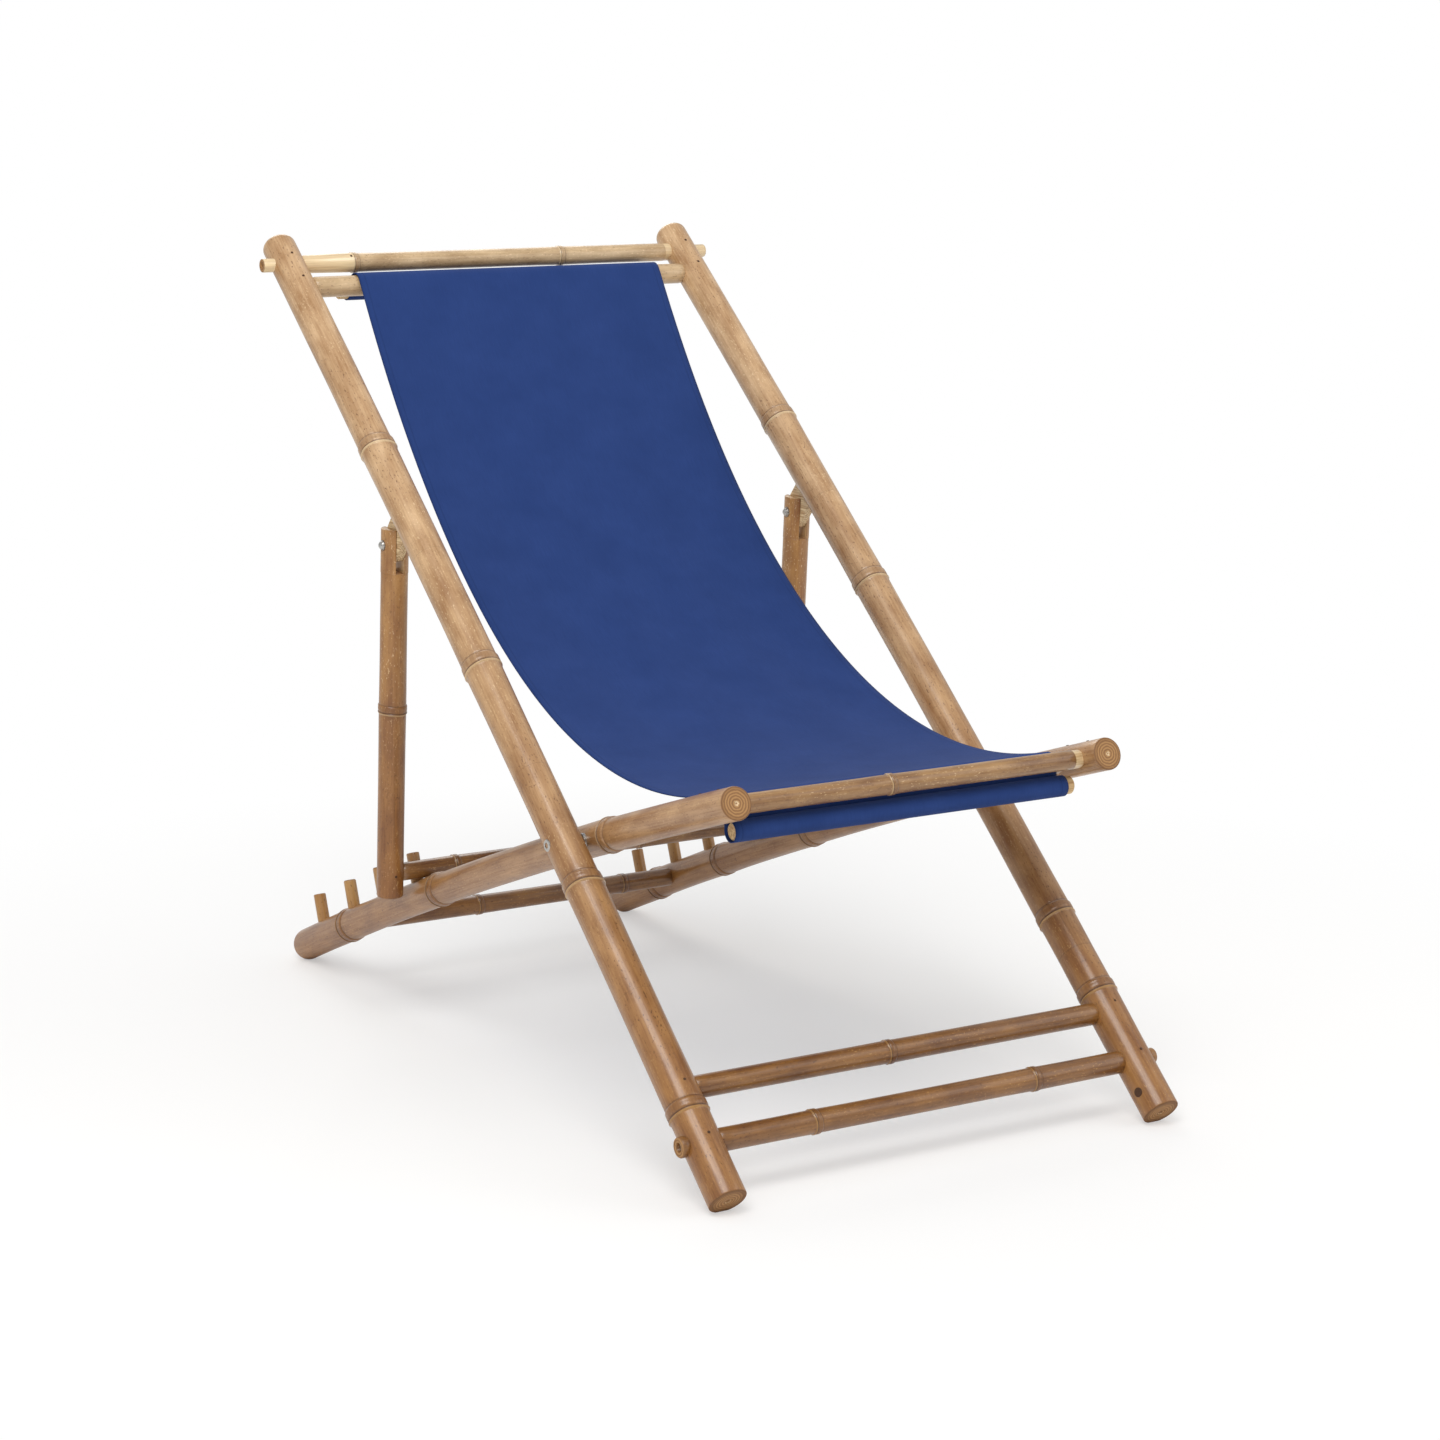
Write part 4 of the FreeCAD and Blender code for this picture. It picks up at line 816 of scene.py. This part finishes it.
class RECLINER_OT_props(bpy.types.Operator):
    """Draw the two props, each with a forked top"""

    bl_idname = "recliner.props"
    bl_label = "Props"

    FOOT = 27 * MM
    TOP = 18 * MM
    FORK_DEPTH = 31 * MM
    FORK_HALF = 5.2 * MM
    SPOT_RADIUS = 6.2 * MM
    SPOT_FACE = 14.2 * MM

    def cheek(self, name, side, x, sign, seed):
        """One cheek of the fork: the outer part of the culm's circle beside the slot.

        Its section is the arc where sign * x is over half the slot's width, closed by
        a chord. Round the bolt the arc is cut back to a flat.
        """
        reach = math.acos(self.FORK_HALF / PROP_RADIUS)
        bend = np.linspace(-reach, reach, 56)
        chord = np.linspace(1, -1, 14)[1:-1] * PROP_RADIUS * math.sin(reach)
        outer = np.concatenate([PROP_RADIUS * np.cos(bend), np.full(12, self.FORK_HALF)])
        wide = np.concatenate([PROP_RADIUS * np.sin(bend), chord])
        s = np.linspace(-self.FORK_DEPTH - 0.5 * MM, self.TOP, 64)
        s = np.concatenate([s[:1], s[:1], s, [self.TOP + 0.3 * MM], [self.TOP + 0.3 * MM]])
        shrink = np.ones(len(s))
        shrink[0] = shrink[-1] = 0
        shrink[-2] = 0.95
        middle = (self.FORK_HALF + PROP_RADIUS) / 2
        out = middle + shrink[:, None] * (outer - middle)[None]
        off = shrink[:, None] * wide[None]
        near = np.hypot(off, s[:, None]) < self.SPOT_RADIUS
        out = np.where(near, np.minimum(out, self.SPOT_FACE), out)
        points = side.world(x + sign * out, off, s[:, None] + 0 * out)
        inside = (np.arange(out.shape[1]) >= len(bend))[None] + 0 * out
        capped = (s[:, None] > self.TOP + 0.1 * MM) + 0 * out
        marks = {"culm": np.stack([sign * out, off, s[:, None] + 3.7 * seed + 0 * out], -1),
                 "node_gap": np.full(out.shape, 0.1), "bare": 0.4 * capped,
                 "pale": np.maximum(0.7 * inside, 0.8 * capped)}
        return tube(name, points, marks)

    def execute(self, context):
        # The props' deeper brown is partly their own tone and partly painted shade low down.
        skin = bamboo("bamboo_prop_skin", colours().prop_light, colours().prop_deep, 0.7)
        side = prop_side()
        hang = joint_place("prop_pivot")
        foot = -np.linalg.norm(hang - middle_of("prop_bar")) - self.FOOT
        for seed, (word, sign) in enumerate(SIDES.items(), 51):
            x = sign * sizes().back_spacing / 2
            culm = Culm(np.array([-PROP_NODES[word]]), np.full(2, PROP_RADIUS),
                        sizes().bar_ridge, seed)
            low = end_rows(**dict(SAWN, rim=2.2 * MM))
            high = end_rows(**dict(SAWN, hole=1 * MM, depth=1 * MM, rim=0.2 * MM))
            s, t, r, marks = culm_grid(culm, foot, -self.FORK_DEPTH, low, high, 8 * MM, 64)
            points = side.world(x + r * np.cos(t), r * np.sin(t), s + 0 * r)
            parts = [tube("prop_pole_" + word, points, marks)]
            for turn in (-1, 1):
                parts.append(self.cheek("prop_cheek", side, x, turn, seed))
            piece = merged("prop_pole_" + word, parts)
            place(piece, "prop_frame", "bamboo_bar", skin, "prop_" + word)
        return {"FINISHED"}


class RECLINER_OT_fittings(bpy.types.Operator):
    """Finish the bolts, nuts, washers, tongues and dowels, and paint the shade of the nail holes
    and the knot hole as dark domes
    """

    bl_idname = "recliner.fittings"
    bl_label = "Fittings"

    # size of the dark domes of painted hole shade: radius, rise above the skin and depth below it
    DOT_RADIUS = 1.5 * MM
    DOT_RISE = 0.25 * MM
    DOT_DEPTH = 1.5 * MM
    BAR_NAIL = -188 * MM
    # the knot hole near the right front foot, its shade painted as a dark dome
    KNOT_RADIUS = 5 * MM
    KNOT_SUNK = 0.1 * MM
    KNOT_ABOVE_FOOT = 25 * MM
    KNOT_FACING = (-0.96, -0.28)

    @staticmethod
    def spot(node, side):
        """Where a crossbar's middle lies in a frame's own axes, across and along."""
        away = middle_of(node) - side.origin
        return away @ side.across, away @ side.up

    def shade_dome(self, at, side, facing, radius):
        """A low dark dome of painted hole shade, its profile a quarter of an ellipse.

        It lies at (x, off, along) on a culm's skin and faces (x, off), a unit vector.
        """
        angle = np.linspace(0, math.pi / 2, 6)
        base = np.full(2, -self.DOT_DEPTH)
        out = np.concatenate([base, self.DOT_RISE * np.sin(angle)])
        wide = radius * np.concatenate([[0, 1], np.cos(angle)])[:, None]
        out = out[:, None]
        t = np.linspace(0, 2 * math.pi, 20, endpoint=False)[None]
        points = side.world(at[0] + facing[0] * out - facing[1] * wide * np.cos(t),
                            at[1] + facing[1] * out + facing[0] * wide * np.cos(t),
                            at[2] + wide * np.sin(t))
        return tube("shade_dome", points, {})

    def execute(self, context):
        steel, hole_shade = zinc_plate(), painted_hole_shade()
        looks = {"cross_bolts": steel, "cross_nuts": steel, "cross_washers": steel,
                 "prop_bolts": steel, "prop_nuts": steel, "prop_washers": steel}
        looks.update(dict.fromkeys(("top_hem_dowel", "front_hem_dowel"), raw_dowel()))
        plate = split_bamboo(math.pi / 2 - sizes().back_slope)
        looks.update(dict.fromkeys(("prop_tongue_left", "prop_tongue_right"), plate))
        for name, material in looks.items():
            node = frame["nodes"][name]
            node.data.materials.clear()
            node.data.materials.append(material)
        back = back_side()
        sides = {"back_frame": back, "seat_frame": seat_side(), "prop_frame": prop_side()}
        culm = Culm(BACK_POLES["left"].nodes, BACK_POLES["left"].radii, 0, 0)
        rows = {body: [] for body in sides}
        for name, (body, _, _, _) in BARS.items():
            if name == "rear_bar":
                continue
            side = sides[body]
            face = 1 if body == "seat_frame" else -1
            off, along = self.spot(name, side)
            skin = {"back_frame": culm.radius(np.array([[along]]), np.zeros((1, 1)))[0, 0],
                    "seat_frame": SEAT_POLES["left"].radii[-1], "prop_frame": PROP_RADIUS}[body]
            for sign in SIDES.values():
                at = (sign * spacing_of(body) / 2, off + face * skin, along)
                rows[body].append(self.shade_dome(at, side, (0, face), self.DOT_RADIUS))
        off, along = self.spot("top_bar", back)
        at = (self.BAR_NAIL, off - BARS["top_bar"][1] * MM, along)
        rows["back_frame"].append(self.shade_dome(at, back, (0, -1), self.DOT_RADIUS))
        pole = BACK_POLES["right"]
        along = pole.low + self.KNOT_ABOVE_FOOT
        facing = np.array(self.KNOT_FACING)
        flat = np.array([sizes().back_spacing / 2, pole.off(along)])
        flat = flat + facing * (pole.radii[0] - self.KNOT_SUNK)
        rows["back_frame"].append(self.shade_dome((*flat, along), back, facing, self.KNOT_RADIUS))
        # The dark domes are painted shade of the nail holes, and on the back frame also of the knot
        # hole.
        for body, shade_domes in rows.items():
            place(merged(body.replace("frame", "painted_hole_shade"), shade_domes), body, "steel", hole_shade,
                  body + "_pins")
        return {"FINISHED"}


class RECLINER_OT_sling(bpy.types.Operator):
    """Hang the canvas between its two bars"""

    bl_idname = "recliner.sling"
    bl_label = "Sling"

    RING = 0.9 * MM
    GAP = 0.4 * MM
    CAD_HALF = 0.8 * MM
    POCKET = 9.8 * MM
    OPEN = 40

    @staticmethod
    def arc(centre, radius, start, end, count):
        """Points on a circle in the side view, between two angles in degrees."""
        angle = np.radians(np.linspace(start, end, count))
        return centre + radius * np.stack([np.cos(angle), np.sin(angle)], -1)

    def catenary(self, back, front, over_back, over_front):
        """The catenary z = a (cosh(y / a) - 1) that touches both bars.

        Each end's slope moves its point of contact round its bar, so the ends and the
        slopes are worked out in turn until they agree. Returns its points from back
        to front and the slopes at its two ends in degrees.
        """
        stretch = sizes().canvas_stretch
        slopes = np.zeros(2)
        for _ in range(60):
            start = self.arc(front, over_front, 90 + slopes[0], 0, 2)[0]
            end = self.arc(back, over_back, 90 + slopes[1], 0, 2)[0]
            half = (end[0] - start[0]) / stretch / 2
            middle = math.asinh((end[1] - start[1]) / (2 * stretch * math.sinh(half)))
            ends = np.array([middle - half, middle + half])
            slopes = np.degrees(np.arctan(np.sinh(ends)))
        place_at = np.linspace(ends[1], ends[0], 190)
        curve = stretch * np.stack([place_at, np.cosh(place_at) - 1], -1)
        return curve - curve[-1] + start, slopes

    def path(self):
        """The canvas in the side view, from inside the top hem to inside the front hem."""
        back, front = middle_of("top_sling_bar"), middle_of("front_sling_bar")
        top, hem = middle_of("top_hem_dowel"), middle_of("front_hem_dowel")
        clear = self.RING + self.GAP + self.CAD_HALF
        over_back = BARS["top_sling_bar"][1] * MM + clear
        over_front = BARS["front_sling_bar"][1] * MM + clear
        round_dowel = self.POCKET + self.CAD_HALF
        curve, slopes = self.catenary(back, front, over_back, over_front)
        rise = np.linspace(top[1], back[1], 5)[1:-1]
        drop = np.linspace(front[1], hem[1], 8)[1:-1]
        parts = [
            self.arc(top, round_dowel, 540 - self.OPEN, 180, 60),
            np.stack([np.full(len(rise), back[0] + over_back), rise], -1),
            self.arc(back, over_back, 0, 90 + slopes[1], 26),
            curve[1:-1],
            self.arc(front, over_front, 90 + slopes[0], 180, 20),
            np.stack([np.full(len(drop), front[0] - over_front), drop], -1),
            self.arc(hem, round_dowel, 0, self.OPEN - 360, 60),
        ]
        begin = sum(len(part) for part in parts[:3])
        return np.concatenate(parts), begin, begin + len(parts[3])

    def execute(self, context):
        line, first, last = self.path()
        steps = np.linalg.norm(np.diff(line, axis=0), axis=1)
        along = np.concatenate([[0], np.cumsum(steps)])
        share = np.clip((along - along[first]) / (along[last] - along[first]), 0, 1)[:, None]
        way = np.gradient(line, axis=0)
        way /= np.linalg.norm(way, axis=1)[:, None]
        u = np.linspace(-1, 1, 73)[None]
        # slow waves across the cloth, its edges lifted and its middle let down, which
        # all fade out at the two bars
        window = np.sin(math.pi * share) ** 2
        ripple = window * MM * (1.3 * np.sin(5.1 * u + 2 * share) + 0.8 * np.sin(11 * u - 5 * share)
                                + 1.6 * u ** 4 - 1.2 * (1 - u ** 2))
        creep = sizes().top_shift * (1 - share) ** 2 - sizes().front_shift * share ** 4
        x = u * sizes().canvas_width / 2 + creep
        y = line[:, :1] + way[:, 1:] * ripple
        z = line[:, 1:] - way[:, :1] * ripple
        points = np.stack([x, y, z], -1)
        rows, columns = points.shape[:2]
        row, column = np.meshgrid(np.arange(rows - 1), np.arange(columns - 1), indexing="ij")
        corner = row * columns + column
        faces = np.stack([corner, corner + 1, corner + columns + 1, corner + columns], -1)
        mesh = bpy.data.meshes.new("canvas_sling")
        mesh.from_pydata(points.reshape(-1, 3), [], faces.reshape(-1, 4).tolist())
        mesh.shade_smooth()
        wide = u * sizes().canvas_width / 2
        cloth = np.stack(np.broadcast_arrays(wide, along[:, None], 0 * wide), -1)
        layer = mesh.attributes.new("cloth", "FLOAT_VECTOR", "POINT")
        layer.data.foreach_set("vector", cloth.astype(np.float32).ravel())
        edge = np.broadcast_to(sizes().canvas_width / 2 - np.abs(wide), (rows, columns))
        layer = mesh.attributes.new("edge_gap", "FLOAT", "POINT")
        layer.data.foreach_set("value", edge.astype(np.float32).ravel())
        piece = bpy.data.objects.new("canvas_sling", mesh)
        context.scene.collection.objects.link(piece)
        mesh.materials.append(cotton_canvas())
        shell = piece.modifiers.new("thickness", "SOLIDIFY")
        shell.thickness = sizes().canvas_thickness
        shell.offset = 0
        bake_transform(piece)
        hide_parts("sling")
        return {"FINISHED"}


class RECLINER_OT_stage(bpy.types.Operator):
    """Set up the floor, the lights and the camera"""

    bl_idname = "recliner.stage"
    bl_label = "Stage"

    CAMERA_AT = (-1.8515, -3.1282, 1.0954)
    CAMERA_LOOKS_AT = (-0.0746, -0.2041, 0.4120)
    LENS = 82.6
    FLOOR_HALF = 14.0
    # from the middle of the floor, how far its own colour reaches and where it is all white
    FADE = (0.4, 1.4)
    WORLD = 0.62

    def floor(self, context):
        """A pale floor that fades into the white background away from the chair."""
        mesh = bpy.data.meshes.new("studio_floor")
        half = self.FLOOR_HALF
        mesh.from_pydata([(-half, -half, 0), (half, -half, 0), (half, half, 0), (-half, half, 0)],
                         [], [(0, 1, 2, 3)])
        floor = bpy.data.objects.new("studio_floor", mesh)
        context.scene.collection.objects.link(floor)
        material, tree, surface = blank("white_studio_paper")
        surface.inputs["Base Color"].default_value = linear("F4F3F1")
        surface.inputs["Roughness"].default_value = 0.9
        surface.inputs["Specular IOR Level"].default_value = 0.1
        far = add(tree, "VectorMath", {0: add(tree, "TexCoord").outputs["Object"]},
                  operation="LENGTH").outputs["Value"]
        seen = add(tree, "LightPath").outputs["Is Camera Ray"]
        fade = maths(tree, "MULTIPLY", between(tree, far, *self.FADE, 0.3, 1.0), seen)
        glow = add(tree, "Emission", {"Color": (1, 1, 1, 1), "Strength": 1.0}).outputs[0]
        blend = add(tree, "MixShader", {0: fade, 1: surface.outputs[0], 2: glow})
        tree.links.new(blend.outputs[0], tree.nodes["Material Output"].inputs["Surface"])
        mesh.materials.append(material)

    def lamp(self, context, name, at, size, power):
        """A square softbox that faces the middle of the chair."""
        data = bpy.data.lights.new(name, "AREA")
        data.size, data.energy = size, power
        lamp = bpy.data.objects.new(name, data)
        lamp.location = at
        way = Vector((0, 0, 0.4)) - Vector(at)
        lamp.rotation_euler = way.to_track_quat("-Z", "Y").to_euler()
        context.scene.collection.objects.link(lamp)

    def execute(self, context):
        scene = context.scene
        self.floor(context)
        self.lamp(context, "key_softbox", (-1.6, -1.8, 3.4), 2.2, 85)
        self.lamp(context, "fill_softbox", (2.6, -2.2, 2.0), 2.4, 22)
        self.lamp(context, "rear_softbox", (0.8, 3.0, 2.6), 2.0, 28)
        world = bpy.data.worlds.new("studio_air")
        world.use_nodes = True
        tree = world.node_tree
        light = tree.nodes["Background"]
        light.inputs["Color"].default_value = (1, 1, 1, 1)
        path = add(tree, "LightPath")
        direct = maths(tree, "MAXIMUM", path.outputs["Is Camera Ray"],
                       path.outputs["Is Transmission Ray"])
        tree.links.new(between(tree, direct, 0.0, 1.0, self.WORLD, 1.0), light.inputs["Strength"])
        scene.world = world
        camera = bpy.data.objects.new("photo_camera", bpy.data.cameras.new("photo_camera"))
        camera.data.lens = self.LENS
        camera.location = self.CAMERA_AT
        way = Vector(self.CAMERA_LOOKS_AT) - Vector(self.CAMERA_AT)
        camera.rotation_euler = way.to_track_quat("-Z", "Y").to_euler()
        scene.collection.objects.link(camera)
        scene.camera = camera
        scene.view_settings.view_transform = "Standard"
        return {"FINISHED"}


class RECLINER_PT_panel(bpy.types.Panel):
    """Sizes, colours and the steps that draw the chair"""

    bl_label = "Recliner"
    bl_idname = "RECLINER_PT_panel"
    bl_space_type = "VIEW_3D"
    bl_region_type = "UI"
    bl_category = "Recliner"

    def draw(self, context):
        for group in (sizes(), colours()):
            column = self.layout.column()
            for name in type(group).__annotations__:
                column.prop(group, name)
        for step in STEPS:
            self.layout.operator(step.bl_idname)


STEPS = (RECLINER_OT_poles, RECLINER_OT_bars, RECLINER_OT_pegs, RECLINER_OT_props,
         RECLINER_OT_fittings, RECLINER_OT_sling, RECLINER_OT_stage)
CLASSES = (Sizes, Colours, *STEPS, RECLINER_PT_panel)


def register():
    for item in CLASSES:
        bpy.utils.register_class(item)
    bpy.types.Scene.recliner_sizes = bpy.props.PointerProperty(type=Sizes)
    bpy.types.Scene.recliner_colours = bpy.props.PointerProperty(type=Colours)


def unregister():
    del bpy.types.Scene.recliner_colours
    del bpy.types.Scene.recliner_sizes
    for item in reversed(CLASSES):
        bpy.utils.unregister_class(item)


def main():
    register()
    bpy.ops.recliner.poles()
    bpy.ops.recliner.bars()
    bpy.ops.recliner.pegs()
    bpy.ops.recliner.props()
    bpy.ops.recliner.fittings()
    bpy.ops.recliner.sling()
    bpy.ops.recliner.stage()


if __name__ == "__main__":
    main()
